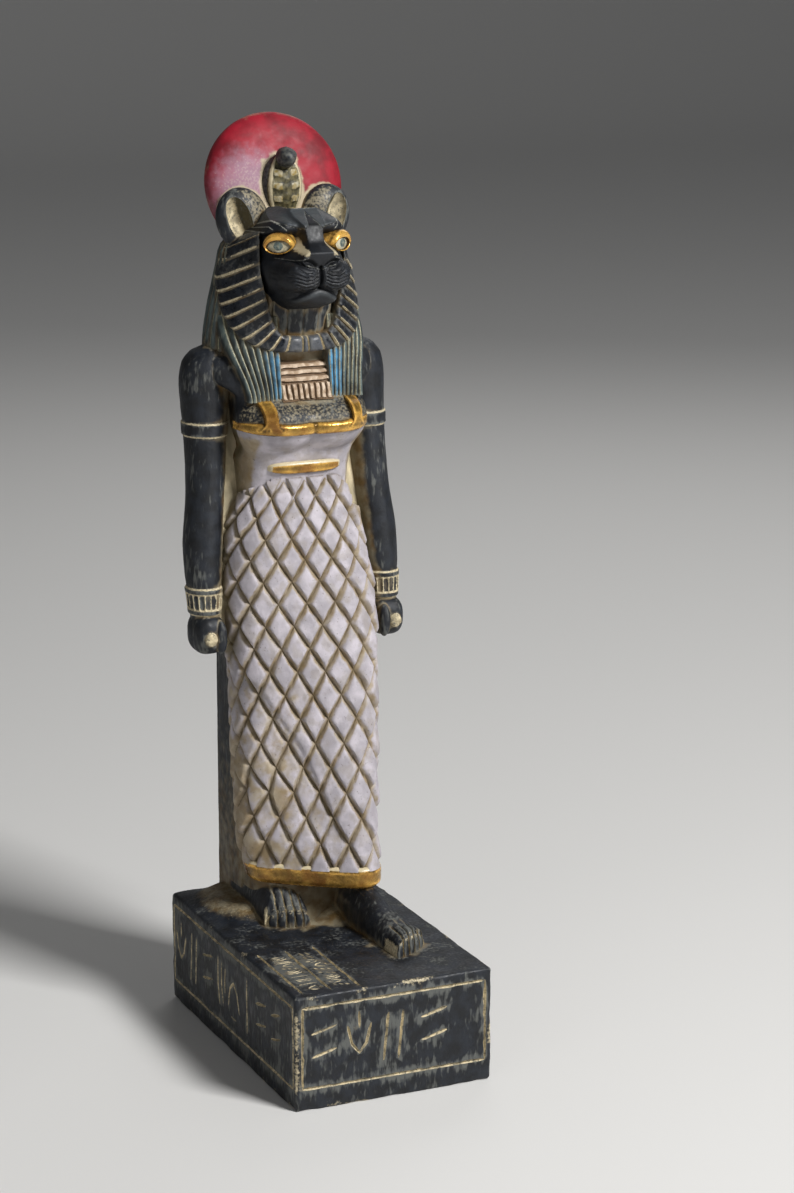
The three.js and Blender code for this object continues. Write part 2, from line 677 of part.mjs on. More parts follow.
function collar() {
  const rows = [PLATE, ...BARS].map(({ half, z, proud }) =>
    strip(4, 1, (u, v) => [half * u, mix(...z, (v + 1) / 2)], proud),
  );
  const beads = Array.from({ length: BEAD.each }, (_, k) => {
    const middle = BEAD.pitch * (k - (BEAD.each - 1) / 2);
    return strip(1, 1, (u, v) => [middle + BEAD.half * u, mix(...BEAD.z, (v + 1) / 2)], BEAD.proud);
  });
  return [...rows, ...beads];
}

// The throat under the chin, inside the mane's ring.
const THROAT = { z: [200, 230], y: 27, a: [13, 14.5], b: [4.5, 13] };

function throat() {
  return loft(20, 3, (t) => ({
    z: mix(...THROAT.z, t),
    x: 0,
    y: THROAT.y,
    a: mix(...THROAT.a, t),
    b: mix(...THROAT.b, t),
  }));
}

// The sun disc and the cobra on its front.

const DISC = { y: 45.2, z: 263.2, r: 25.6, front: 8.4, back: 6.5, lean: 0.26, fullness: 0.8 };
const HOOD = { middle: [0, 37.2, 263.4], radii: [7.4, 5.6, 11.4] };
const THROAT_RIDGE = { middle: [0, 33.2, 262.4], radii: [2, 3.2, 10] };
const COBRA_HEAD = { middle: [0, 33, 273.8], radii: [3.4, 4.8, 3.7] };

function sunDisc() {
  const steps = 4;
  const half = (deep, sign) =>
    Array.from({ length: steps }, (_, i) => {
      const a = (i / steps) * (Math.PI / 2);
      const [out, up] = [Math.sin(a) ** DISC.fullness, Math.cos(a) ** DISC.fullness];
      return new THREE.Vector2(DISC.r * out, sign * deep * up);
    });
  const profile = [...half(DISC.back, -1), new THREE.Vector2(DISC.r, 0), ...half(DISC.front, 1).reverse()];
  const lens = new THREE.LatheGeometry(profile, 26);
  lens.rotateX(Math.PI - DISC.lean);
  lens.translate(0, DISC.y, DISC.z);
  return solidOf(lens);
}

function cobra() {
  return [
    ellipsoid(HOOD.middle, HOOD.radii, 10, 7),
    ellipsoid(THROAT_RIDGE.middle, THROAT_RIDGE.radii, 6, 6),
    ellipsoid(COBRA_HEAD.middle, COBRA_HEAD.radii, 8, 6),
  ];
}

// Pillar, ground and plinth

function pillar() {
  const box = new THREE.BoxGeometry(PILLAR_WIDTH, PILLAR_DEPTH, PILLAR_HEIGHT + SUNK);
  const middle = PLINTH_HEIGHT + (PILLAR_HEIGHT - SUNK) / 2;
  return solidOf(box.translate(0, PILLAR_BACK - PILLAR_DEPTH / 2, middle), IN_PLINTH);
}

// Ground swelling round the feet and the pillar: middles and half sizes of the places it gathers round.
const STANCE = [
  [-13, 35, 14, 14],
  [12, 24, 9, 16],
  [0, 46, 22, 10],
];
const GROUND_FRONT = -14; // as far forward as the swelling reaches
const GROUND_RUN = 1.3; // how quickly it runs out
const GROUND_MARGIN = 2.5; // from the plinth's edges to the ground's
const GROUND_DIP = 0.4; // how far the ground's outer edge lies under the plinth's top

function ground() {
  const box = new THREE.BoxGeometry(2, 2, 2, 9, 10, 1);
  const half = PLINTH_WIDTH / 2 - GROUND_MARGIN;
  const back = PLINTH_DEPTH / 2 - GROUND_MARGIN;
  const geometry = moved(box, (u, v, w) => {
    const [x, y] = [u * half, mix(GROUND_FRONT * SHARE, back, (v + 1) / 2)];
    const [drawnX, drawnY] = [x / SHARE, DRAWN_BACK + (y - PILLAR_BACK) / SHARE];
    const close = STANCE.map(([cx, cy, a, b]) => Math.hypot((drawnX - cx) / a, (drawnY - cy) / b) - 1);
    const swell = GROUND_RISE * smooth(1 - Math.min(...close) * GROUND_RUN) - GROUND_DIP;
    return [x, y, PLINTH_HEIGHT + (w < 0 ? -SUNK : swell)];
  });
  return solidOf(geometry, IN_PLINTH);
}

// A block with rounded edges, flat underneath.
function plinthBlock() {
  const [halfWidth, halfDepth] = [PLINTH_WIDTH / 2 - PLINTH_EDGE, PLINTH_DEPTH / 2 - PLINTH_EDGE];
  const plan = new THREE.Shape([
    new THREE.Vector2(-halfWidth, -halfDepth),
    new THREE.Vector2(halfWidth, -halfDepth),
    new THREE.Vector2(halfWidth, halfDepth),
    new THREE.Vector2(-halfWidth, halfDepth),
  ]);
  const block = new THREE.ExtrudeGeometry(plan, {
    depth: PLINTH_HEIGHT - 2 * PLINTH_EDGE,
    bevelThickness: PLINTH_EDGE,
    bevelSize: PLINTH_EDGE,
    bevelSegments: 2,
  });
  return solidOf(block.translate(0, 0, PLINTH_EDGE), IN_PLINTH);
}

// A frame line for a side of the plinth, as a solid to cut out: it stands in a plane that faces -Y at y = 0.
function frameLine(width) {
  const rectangle = (halfWidth, low, high) => [
    new THREE.Vector2(-halfWidth, low),
    new THREE.Vector2(halfWidth, low),
    new THREE.Vector2(halfWidth, high),
    new THREE.Vector2(-halfWidth, high),
  ];
  const [half, low, high] = [width / 2 - FRAME_MARGIN, FRAME_FOOT, PLINTH_HEIGHT - FRAME_TOP];
  const outer = new THREE.Shape(rectangle(half, low, high));
  const hole = rectangle(half - FRAME_LINE, low + FRAME_LINE, high - FRAME_LINE).reverse();
  outer.holes.push(new THREE.Path(hole));
  const cut = new THREE.ExtrudeGeometry(outer, { depth: 2 * FRAME_LINE, bevelEnabled: false });
  return cut.rotateX(Math.PI / 2).translate(0, FRAME_LINE, 0);
}

function plinth() {
  const front = frameLine(PLINTH_WIDTH).translate(0, -PLINTH_DEPTH / 2, 0);
  const sides = SIDES.map((side) =>
    frameLine(PLINTH_DEPTH).rotateZ((side * Math.PI) / 2).translate((side * PLINTH_WIDTH) / 2, 0, 0),
  );
  return [front, ...sides].reduce((block, line) => block.subtract(solidOf(line, IN_PLINTH)), plinthBlock());
}

// Assembly

function statue() {
  return union([
    plinth(),
    pillar(),
    dress(),
    wrapped(HEM_BOTTOM, HEM_TOP, BAND_PROUD, 24),
    torsoSolid(),
    ...bodice(),
    ...armsSolids(),
    ...feet(),
    ground(),
    face(),
    ...eyes(),
    mane(),
    ...SIDES.map(ear),
    wigShell(),
    ...SIDES.map(lappet),
    ...collar(),
    throat(),
    sunDisc(),
    ...cobra(),
  ]);
}

// The finished solid as a three.js geometry.
function geometryOf(solid) {
  const { vertProperties, triVerts } = solid.getMesh();
  const geometry = new THREE.BufferGeometry();
  geometry.setAttribute("position", new THREE.BufferAttribute(new Float32Array(vertProperties), 3));
  geometry.setIndex(new THREE.BufferAttribute(new Uint32Array(triVerts), 1));
  geometry.computeVertexNormals();
  return geometry;
}

const paintedStone = new THREE.MeshStandardMaterial({ color: 0x3a3d42, roughness: 0.6, metalness: 0 });
const work = new THREE.Group();
const mesh = new THREE.Mesh(geometryOf(statue()), paintedStone);
mesh.name = "statue";
work.add(mesh);

export default work;
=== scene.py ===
# A standing lion-headed goddess with a sun disc, cast in one with its back pillar and plinth, hand painted.
# Metres in Blender, +Z up, the figure faces -Y and its own left is +X. Forms are worked out in millimetres.
import json
import math
from types import SimpleNamespace

import bmesh
import bpy
import numpy as np
from bpy.props import FloatProperty, FloatVectorProperty, IntProperty, PointerProperty
from mathutils import Matrix, Vector

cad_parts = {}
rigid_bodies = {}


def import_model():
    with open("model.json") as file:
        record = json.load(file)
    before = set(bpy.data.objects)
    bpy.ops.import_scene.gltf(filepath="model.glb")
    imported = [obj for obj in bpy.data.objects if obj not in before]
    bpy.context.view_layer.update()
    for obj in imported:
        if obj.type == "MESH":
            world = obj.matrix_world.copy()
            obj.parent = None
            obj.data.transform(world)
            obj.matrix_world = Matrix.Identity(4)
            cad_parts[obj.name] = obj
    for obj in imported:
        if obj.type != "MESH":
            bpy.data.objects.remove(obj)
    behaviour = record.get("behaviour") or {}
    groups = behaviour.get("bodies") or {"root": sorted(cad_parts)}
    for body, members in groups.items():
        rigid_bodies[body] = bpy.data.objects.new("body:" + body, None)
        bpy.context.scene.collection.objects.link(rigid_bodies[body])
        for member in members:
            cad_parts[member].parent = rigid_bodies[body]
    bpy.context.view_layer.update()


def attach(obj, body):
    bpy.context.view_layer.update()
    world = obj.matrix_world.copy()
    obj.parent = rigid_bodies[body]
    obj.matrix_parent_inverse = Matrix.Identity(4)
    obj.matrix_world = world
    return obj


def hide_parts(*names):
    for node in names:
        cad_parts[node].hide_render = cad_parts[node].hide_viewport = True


bl_info = {
    "name": "Lion-headed goddess",
    "version": (1, 0, 0),
    "blender": (4, 5, 0),
    "location": "3D View > Sidebar > Statue",
    "description": "Builds a painted stone casting of a lion-headed goddess, with its studio",
    "category": "Object",
}

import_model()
MM = 0.001
SIDES = ((-1, "right"), (1, "left"))  # the figure's own


# Sizes and colours that a user would change


def length(name, description, millimetres):
    """A length in metres with its default given in millimetres."""
    return FloatProperty(name=name, description=description, default=millimetres * MM, min=0, unit="LENGTH")


def share(name, description, default):
    """A share from 0 to 1."""
    return FloatProperty(name=name, description=description, default=default, min=0, max=1, subtype="FACTOR")


def colour(name, description, default):
    """A linear colour."""
    return FloatVectorProperty(
        name=name, description=description, default=default, min=0, max=1, size=3, subtype="COLOR"
    )


def watts(name, description, default):
    """A light's power in watts."""
    return FloatProperty(name=name, description=description, default=default, min=0, unit="POWER")


class StatueSizes(bpy.types.PropertyGroup):
    """Sizes of the casting."""

    plinth_width: length("Plinth width", "From the plinth's left side to its right side", 74)
    plinth_depth: length("Plinth depth", "From the plinth's front to its back", 121)
    plinth_height: length("Plinth height", "From the underside to the top of the plinth", 41.5)
    plinth_edge: length("Plinth edge", "Rounding of the plinth's worn edges", 1.2)
    ground_rise: length("Ground rise", "How high the ground swells round the feet and the pillar", 4.4)
    pillar_width: length("Pillar width", "Width of the back pillar", 39)
    pillar_depth: length("Pillar depth", "Depth of the back pillar", 24)
    pillar_height: length("Pillar height", "Height of the back pillar above the plinth's top", 206)
    pillar_setback: length("Pillar setback", "From the plinth's back edge to the pillar's back", 3.5)
    net_width: length("Net width", "Width of one diamond of the dress's net", 10.5)
    net_height: length("Net height", "Height of one diamond of the dress's net", 16.3)
    net_relief: length("Net relief", "How deep the net is carved", 2.0)
    lumps: length("Lumps", "How uneven the cast surface is", 0.16)
    strands: IntProperty(name="Strands", description="Ribs round the wig", default=30, min=12)
    locks: IntProperty(name="Locks", description="Locks of the mane from ear to ear", default=24, min=8)


class StatueColours(bpy.types.PropertyGroup):
    """Colours of the paint and how far it is worn."""

    stone: colour("Stone", "Blue-black of the body and the plinth", (0.008, 0.0105, 0.0155))
    dress: colour("Dress", "Pale lavender white of the dress", (0.475, 0.44, 0.475))
    gold: colour("Gold", "Gold of the hem, the bodice and the eyes", (0.58, 0.33, 0.07))
    disc: colour("Disc", "Red of the sun disc", (0.24, 0.006, 0.016))
    cream: colour("Cream", "Cream rubbed into the carved lines", (0.66, 0.56, 0.36))
    ochre: colour("Ochre", "Brown stain in the sheltered places", (0.20, 0.12, 0.035))
    blue: colour("Blue", "Blue of the strands beside the collar", (0.07, 0.25, 0.42))
    scuffs: share("Scuffs", "How much of the dark paint is rubbed light", 0.5)
    stain: share("Stain", "How much stain lies in the sheltered places", 0.6)


class StatueStage(bpy.types.PropertyGroup):
    """The studio round the casting."""

    floor: colour("Floor", "Colour of the floor", (0.72, 0.71, 0.69))
    key_power: watts("Key", "Power of the main light", 30)
    fill_power: watts("Fill", "Power of the soft lights", 2.2)
    sky: FloatProperty(name="Sky", description="Strength of the light from all round", default=0.1, min=0)


def own_properties(group):
    """Names of the properties that a group adds."""
    return [name for name in group.bl_rna.properties.keys() if name not in ("rna_type", "name")]


def sizes():
    """The casting's sizes in millimetres, by name."""
    group = bpy.context.scene.statue_sizes
    values = {name: getattr(group, name) for name in own_properties(group)}
    return SimpleNamespace(
        **{name: value if isinstance(value, int) else value / MM for name, value in values.items()}
    )


# Curves and grids


def mix(a, b, t):
    """Goes from a to b in a straight line as t goes from 0 to 1."""
    return a + (b - a) * t


def smooth(t):
    """Eases from 0 to 1, flat at both ends: 3 t squared less 2 t cubed, with t held between 0 and 1."""
    t = np.clip(t, 0, 1)
    return t * t * (3 - 2 * t)


def bell(distance, width):
    """A bell of height 1: e to the power of minus the distance over the width, squared."""
    return np.exp(-((distance / width) ** 2))


def inside(value, low, high, edge=0.35):
    """1 between two values and 0 outside them, with soft edges of that width."""
    return smooth((value - low) / edge + 0.5) * smooth((high - value) / edge + 0.5)


def power(value, exponent):
    """A power that keeps the sign of its base."""
    return np.sign(value) * np.abs(value) ** exponent


def turns(count):
    """Angles of that many equal steps all the way round."""
    return np.arange(count) * 2 * math.pi / count


def through(pairs):
    """A smooth curve through [at, value] pairs, flat beyond its ends.

    Each stretch is a cubic. The slope at a point is the harmonic mean of the straight slopes beside it.
    """
    at, value = np.array(pairs, float).T
    step = np.diff(at)
    slope = np.diff(value) / step
    product = slope[:-1] * slope[1:]
    total = np.where(product > 0, slope[:-1] + slope[1:], 1)
    tangent = np.zeros(len(at))
    tangent[1:-1] = np.where(product > 0, 2 * product / total, 0)

    def curve(x):
        x = np.clip(x, at[0], at[-1])
        i = np.clip(np.searchsorted(at, x, side="right") - 1, 0, len(step) - 1)
        s = (x - at[i]) / step[i]
        ends = value[i] * (1 + 2 * s) * (1 - s) ** 2 + value[i + 1] * s * s * (3 - 2 * s)
        slopes = tangent[i] * step[i] * s * (1 - s) ** 2 + tangent[i + 1] * step[i] * s * s * (s - 1)
        return ends + slopes

    return curve


def profiles(names, *stations):
    """Columns of a table of stations, each as a smooth curve of the first column, by name."""
    at, *columns = zip(*stations)
    return SimpleNamespace(**{name: through(list(zip(at, c))) for name, c in zip(names.split(), columns)})


def superellipse(angle, a, b, exponent):
    """A point of the superellipse with half sizes a and b, at an angle from the front."""
    return a * power(np.sin(angle), 2 / exponent), -b * power(np.cos(angle), 2 / exponent)


def stroke_depth(x, z, points, width):
    """How close places lie to a line through the points: a bell of the distance to its nearest stretch."""
    nearest = np.full(np.shape(x + z), np.inf)
    for (ax, az), (bx, bz) in zip(points[:-1], points[1:]):
        dx, dz = bx - ax, bz - az
        along = np.clip(((x - ax) * dx + (z - az) * dz) / (dx * dx + dz * dz), 0, 1)
        nearest = np.minimum(nearest, np.hypot(x - ax - along * dx, z - az - along * dz))
    return bell(nearest, width)


def lumps(points, size, seed):
    """Smooth noise from -1 to 1: random values on a lattice of that size, eased between its corners."""
    values = np.random.default_rng(seed).uniform(-1, 1, (LATTICE,) * 3)
    place = points / size
    corner = np.floor(place).astype(int)
    t = place - corner
    t = t * t * (3 - 2 * t)
    total = 0
    for i in (0, 1):
        for j in (0, 1):
            for k in (0, 1):
                weight = abs(1 - i - t[..., 0]) * abs(1 - j - t[..., 1]) * abs(1 - k - t[..., 2])
                at = (corner + (i, j, k)) % LATTICE
                total = total + weight * values[at[..., 0], at[..., 1], at[..., 2]]
    return total


LATTICE = 32  # corners along each side of the noise's lattice, which then repeats


# Closed solids from grids of points
# A point is x, y, z and its shares of line paint, second paint and stain.


def grid(x, y, z, line=0.0, tone=0.0, stain=0.0):
    """One array of points from arrays of their values, stretched to a common shape."""
    return np.stack(np.broadcast_arrays(x, y, z, line, tone, stain), -1).astype(float)


def patch(index, points, turned=None):
    """Triangles over a grid of point numbers, each cell cut along its shorter diagonal or as turned says."""
    a, b, c, d = index[:-1, :-1], index[:-1, 1:], index[1:, 1:], index[1:, :-1]
    if turned is None:
        place = points[:, :3]
        turned = np.linalg.norm(place[a] - place[c], axis=-1) > np.linalg.norm(place[b] - place[d], axis=-1)
    turned = np.broadcast_to(turned, a.shape)[..., None]
    first = np.where(turned, np.stack([a, b, d], -1), np.stack([a, b, c], -1))
    second = np.where(turned, np.stack([b, c, d], -1), np.stack([a, c, d], -1))
    return np.concatenate([first.reshape(-1, 3), second.reshape(-1, 3)])


def tube(rings, ends=None, turned=None):
    """A solid from rings of points, rows by columns. Each end is a fan round its middle or a given point."""
    rows, columns = rings.shape[:2]
    ends = [rings[0].mean(0), rings[-1].mean(0)] if ends is None else ends
    points = np.concatenate([rings.reshape(-1, rings.shape[2]), ends])
    index = np.arange(rows * columns).reshape(rows, columns)
    index = np.concatenate([index, index[:, :1]], 1)
    middle = np.full(columns, rows * columns)
    foot = np.stack([index[0, 1:], index[0, :-1], middle], 1)
    head = np.stack([index[-1, :-1], index[-1, 1:], middle + 1], 1)
    return points, np.concatenate([patch(index, points, turned), foot, head])


def block(us, vs, ws, place):
    """A solid from the skin of a box of grid lines, each point of it moved to place(u, v, w)."""
    shape = (len(us), len(vs), len(ws))
    skin = np.zeros(shape, bool)
    skin[[0, -1]] = True
    skin[:, [0, -1]] = True
    skin[:, :, [0, -1]] = True
    index = np.full(shape, -1)
    index[skin] = np.arange(skin.sum())
    u, v, w = np.meshgrid(us, vs, ws, indexing="ij")
    points = place(u[skin], v[skin], w[skin])
    faces = [
        patch(index[0], points),
        patch(index[-1].T, points),
        patch(index[:, 0].T, points),
        patch(index[:, -1], points),
        patch(index[:, :, 0], points),
        patch(index[:, :, -1].T, points),
    ]
    return points, np.concatenate(faces)


def slab(across, up, place):
    """A solid whose front has across by up cells at place(u, v, True), with u and v from -1 to 1.

    Its back is a fan from the rim at place(u, v, False) to the rim's middle.
    """
    u, v = np.meshgrid(np.linspace(-1, 1, across + 1), np.linspace(-1, 1, up + 1), indexing="ij")
    front = place(u, v, True)
    index = np.arange(u.size).reshape(u.shape)
    rim = np.concatenate([index[:-1, 0], index[-1, :-1], index[:0:-1, -1], index[0, :0:-1]])
    back = place(u.ravel()[rim], v.ravel()[rim], False)
    points = np.concatenate([front.reshape(-1, front.shape[-1]), back, [back.mean(0)]])
    ring = u.size + np.arange(len(rim))
    walls = patch(np.stack([np.append(rim, rim[0]), np.append(ring, ring[0])]), points)
    fan = np.stack([ring, np.roll(ring, -1), np.full(len(rim), len(points) - 1)], 1)
    return points, np.concatenate([patch(index, points), walls, fan])


def turned_by(points, angles, centre):
    """Points turned about x, then y, then z round their origin, and moved to the centre."""
    a, b, c = angles
    about_x = np.array([(1, 0, 0), (0, math.cos(a), -math.sin(a)), (0, math.sin(a), math.cos(a))])
    about_y = np.array([(math.cos(b), 0, math.sin(b)), (0, 1, 0), (-math.sin(b), 0, math.cos(b))])
    about_z = np.array([(math.cos(c), -math.sin(c), 0), (math.sin(c), math.cos(c), 0), (0, 0, 1)])
    out = points.copy()
    out[..., :3] = points[..., :3] @ (about_x @ about_y @ about_z).T + np.array(centre, float)
    return out


def sphere(around, along):
    """Places x, y and z on a ball of radius 1, in rings from its foot up, without its poles."""
    angle = turns(around)
    level = np.linspace(-math.pi / 2, math.pi / 2, along + 1)[1:-1, None]
    return np.sin(angle) * np.cos(level), -np.cos(angle) * np.cos(level), np.sin(level) + 0 * angle


def ball(centre, radii, around, along, relief, turn=(0, 0, 0)):
    """An ellipsoid with its poles up and down.

    relief(x, y, z), from shares of the half sizes, gives a share to swell by and its paints.
    """
    x, y, z = sphere(around, along)
    swell, paints = relief(x, y, z)
    a, b, c = radii
    rings = grid(a * x * (1 + swell), b * y * (1 + swell), c * z * (1 + swell), *paints)
    poles = np.array([rings[0].mean(0), rings[-1].mean(0)])
    poles[:, :3] = [(0, 0, -c), (0, 0, c)]
    points, faces = tube(rings, poles)
    return turned_by(points, turn, centre), faces


def volume(points, faces):
    """Signed volume of a closed mesh: a sixth of the sum of its triangles' triple products."""
    a, b, c = (points[faces[:, k], :3] for k in range(3))
    return np.einsum("ij,ij->i", a, np.cross(b, c)).sum() / 6


ATTRIBUTES = ("line", "tone", "stain")


def collection(name):
    """The collection of that name, made if there is none."""
    if name not in bpy.data.collections:
        bpy.context.scene.collection.children.link(bpy.data.collections.new(name))
    return bpy.data.collections[name]


def placed(name, data, group=None):
    """A new object in a collection, or else in the scene's own."""
    made = bpy.data.objects.new(name, data)
    (group or bpy.context.scene.collection).objects.link(made)
    return made


def mesh_object(name, points, faces, paint, corners, values, group=None):
    """A triangle mesh object in metres, facing outwards, with paint on its corners and the shares for wear
    and painted shade on its points.
    """
    if volume(points, faces) < 0:
        faces = faces[:, ::-1]
        corners = {name: value[:, ::-1] for name, value in corners.items()}
    mesh = bpy.data.meshes.new(name)
    mesh.from_pydata((points[:, :3] * MM).tolist(), [], faces.tolist(), shade_flat=False)
    mesh.polygons.foreach_set("material_index", np.broadcast_to(paint, len(faces)).astype(np.int32))
    for material in PAINTS:
        mesh.materials.append(bpy.data.materials.get(material) or bpy.data.materials.new(material))
    for domain, layers in (("CORNER", corners), ("POINT", values)):
        for attribute, value in layers.items():
            store = mesh.attributes.new(attribute, "FLOAT", domain)
            store.data.foreach_set("value", value.astype(np.float32).ravel())
    return placed(name, mesh, group)


def add_form(name, solid, paint, lift=None, group="forms"):
    """Adds a closed solid to the casting, lifted by the plinth's height unless told otherwise.

    Its paint is a name, or a function from the middles of its triangles to numbers in the list of paints.
    """
    points, faces = solid
    points = points.copy()
    points[:, 2] += sizes().plinth_height if lift is None else lift
    corners = {attribute: np.clip(points[:, 3 + k], 0, 1)[faces] for k, attribute in enumerate(ATTRIBUTES)}
    if callable(paint):
        paint = paint(points[faces, :3].mean(1) - (0, 0, sizes().plinth_height))
    else:
        paint = PAINTS.index(paint)
    return mesh_object(name, points, faces, paint, corners, {}, collection(group))


# Figure forms, in millimetres from the middle of the plinth's top

HEM_BOTTOM = 15.5
HEM_TOP = 22.8
DRESS_TOP = 163.0
PLAN_MIDDLE = 28.0
WRAP = 20  # how tightly the dress wraps the two legs and the body
legs = profiles(
    "leftX leftY leftA leftB rightX rightY rightA rightB bodyA bodyY bodyB",
    (14, 13, 1.5, 7.6, 8.4, -12.5, 20.5, 8.3, 9, 13, 22, 14),
    (22, 13, 2, 7.6, 8.4, -12.5, 21, 9.8, 9.6, 13.5, 22.5, 14),
    (34, 13, 3.5, 7.2, 8.2, -12.7, 21.5, 12.1, 11, 15, 23, 14.5),
    (50, 13.3, 6.5, 8.5, 8.8, -12.7, 23, 12.4, 12.2, 17, 24.5, 15),
    (90, 12.8, 14.5, 12.2, 10.2, -12.9, 26, 12.1, 13.4, 19.5, 27.5, 16.5),
    (118, 11.9, 21, 15.1, 11.4, -11.9, 28, 15, 14.2, 20.5, 29.5, 16.5),
    (140, 8.8, 26, 15.7, 12.4, -9.8, 29.5, 16, 14.6, 19.5, 30, 15.5),
    (158, 4.8, 29, 18.4, 13.2, -6, 30, 14.2, 13.6, 18.6, 30.5, 14),
    (168, 3, 29.5, 19, 12.8, -4, 30, 14.5, 13, 18.4, 30.5, 13.6),
)


def taut_outline(direction, z):
    """A point x, y of the dress's plan at a height and its outward normal.

    The plan wraps three ellipses, two legs and the body between them. Each reaches in a direction as far as
    its middle plus the square root of (a nx) squared + (b ny) squared, and the plan as far as the power sum
    of the three. The point is that reach along the normal plus its slope across it.
    """
    nx, ny = np.sin(direction), -np.cos(direction)
    total = slopes = 0.0
    for cx, cy, a, b in (
        (legs.leftX(z), legs.leftY(z), legs.leftA(z), legs.leftB(z)),
        (legs.rightX(z), legs.rightY(z), legs.rightA(z), legs.rightB(z)),
        (0.0, legs.bodyY(z), legs.bodyA(z), legs.bodyB(z)),
    ):
        rounding = np.hypot(a * nx, b * ny)
        reach = cx * nx + (cy - PLAN_MIDDLE) * ny + rounding
        slope = -cx * ny + (cy - PLAN_MIDDLE) * nx - (a * a - b * b) * nx * ny / rounding
        total = total + reach**WRAP
        slopes = slopes + reach ** (WRAP - 1) * slope
    reach = total ** (1 / WRAP)
    slope = reach / total * slopes
    return reach * nx - slope * ny, PLAN_MIDDLE + reach * ny + slope * nx, nx, ny


def measured_plan(z, distance):
    """The plan's points and normals at one height, at distances along the cloth from its front at x = 0.

    distance gives them from the least and the greatest distance there is.
    """
    direction = np.linspace(-math.pi, math.pi, PLAN_STEPS)
    x, y, nx, ny = taut_outline(direction, z)
    length = np.concatenate([[0], np.cumsum(np.hypot(np.diff(x), np.diff(y)))])
    front = y < PLAN_MIDDLE
    length = length - np.interp(0, x[front], length[front])
    wanted = distance(length[0], length[-1])
    return [np.interp(wanted, length, column) for column in (x, y, nx, ny)], wanted


PLAN_STEPS = 721

torso = profiles(
    "a front back power",
    (150, 20, 15.8, 46, 2.2),
    (160, 20.4, 16.4, 46, 2.3),
    (167, 20.8, 16, 46, 2.5),
    (172, 22.4, 15.4, 46, 2.8),
    (177, 24.4, 12.8, 46, 3.1),
    (182, 25.6, 11.6, 46, 3.3),
    (185.5, 25.8, 12, 46.5, 3.3),
    (190.5, 26, 15.4, 47, 3.2),
    (194.5, 28, 17, 47.5, 2.9),
    (198, 30.6, 18.4, 48, 2.6),
    (204, 31.6, 22, 48, 2.5),
    (208.5, 28, 27.5, 47, 2.4),
    (213, 16, 29, 46, 2.2),
)
BREAST = SimpleNamespace(x=10.5, z=182.5, wide=13.5, high=9.4, deep=4.6, power=2.4, fullness=0.7)
FLANK = 0.16  # share by which the torso narrows from its front to its back, under the arms


def flank(y, z):
    """Share of the torso's width at a depth: it narrows backwards between the waist and the armpits."""
    return 1 - FLANK * smooth((y - 18) / 12) * smooth((z - 168) / 6) * smooth((197 - z) / 5)


def torso_front(x, z):
    """Depth of the torso's front: a superellipse section by height, less a mound for each breast."""
    exponent = torso.power(z)
    b = (torso.back(z) - torso.front(z)) / 2
    share = np.clip(np.abs(x) / torso.a(z), 0, 1)
    dx, dz = np.abs(np.abs(x) - BREAST.x) / BREAST.wide, np.abs(z - BREAST.z) / BREAST.high
    within = np.clip(1 - dx**BREAST.power - dz**BREAST.power, 0, 1)
    bust = BREAST.deep * within**BREAST.fullness * (1 - share**6)
    return torso.front(z) + b - b * (1 - share**exponent) ** (1 / exponent) - bust


# Middle x and z, half width, half height, depth of its base, how far it rises, and power
FACE_FORMS = (
    (0, 239, 17.2, 19, 26, 15.8, 2.6),
    (0, 239, 11.5, 10, 15, 8.6, 2.2),
    (5.4, 235.5, 8, 5.7, 9.5, 9.9, 2.7),
    (0, 229.2, 10.2, 5.4, 14, 11, 2.6),
    (9.6, 251.4, 7, 2.6, 13.4, 3.4, 2),
)
nose = profiles(
    "front half",
    (231, 26, 0.6),
    (236.4, 12, 0.6),
    (238.4, 4.4, 3),
    (239.8, 1.5, 5.4),
    (241.4, 0.7, 7),
    (243.9, 0, 5.4),
    (245.4, 2.4, 3.6),
    (247.2, 5.2, 3),
    (249.8, 6.8, 3.1),
    (252.6, 8, 3.6),
    (254.4, 11.5, 4.6),
    (256, 15.5, 5),
    (257.7, 18, 5),
)
SOFTEN = 0.85  # per millimetre: how sharply neighbouring mounds of the face stay apart
FALL = 12  # how steeply a mound of the face falls away outside its reach
NOSE_SIDE = 2.8  # how steeply the sides of the nose fall back


def face_base(x, z):
    """Depth of the face's front: a soft least value of five rounded mounds and the wedge of the nose."""
    away = np.abs(x)
    total = 0.0
    for cx, cz, wide, high, base, rise, exponent in FACE_FORMS:
        reach = (np.abs(away - cx) / wide) ** exponent + (np.abs(z - cz) / high) ** exponent
        mound = base - rise * np.sqrt(np.clip(1 - reach, 0, 1))
        outside = base + FALL * (np.sqrt(np.maximum(reach, 1)) - 1)
        total = total + np.exp(-SOFTEN * np.where(reach < 1, mound, outside))
    wedge = nose.front(z) + NOSE_SIDE * np.maximum(0, away - nose.half(z))
    return -np.log(total + np.exp(-SOFTEN * wedge)) / SOFTEN


# The dress


def net_place(column, row, columns, rows, back_columns, s):
    """Points and normals of the dress's plan at columns along the cloth for one row of the net."""
    t = row / rows
    z = mix(HEM_TOP - 1, DRESS_TOP, t * (1 + NET_TAPER * (1 - t)))
    even = columns - back_columns

    def distance(low, high):
        end = np.where(column < 0, low, high)
        step = np.minimum(s.net_width / 2, (np.abs(end) - NET_START) / columns)
        last = NET_START + np.sign(column) * even * step
        stretched = mix(last, end, (np.abs(column) - even) / back_columns)
        return np.where(np.abs(column) <= even, NET_START + column * step, stretched)

    (x, y, nx, ny), along = measured_plan(z, distance)
    return x, y, nx, ny, z + 0 * x, along


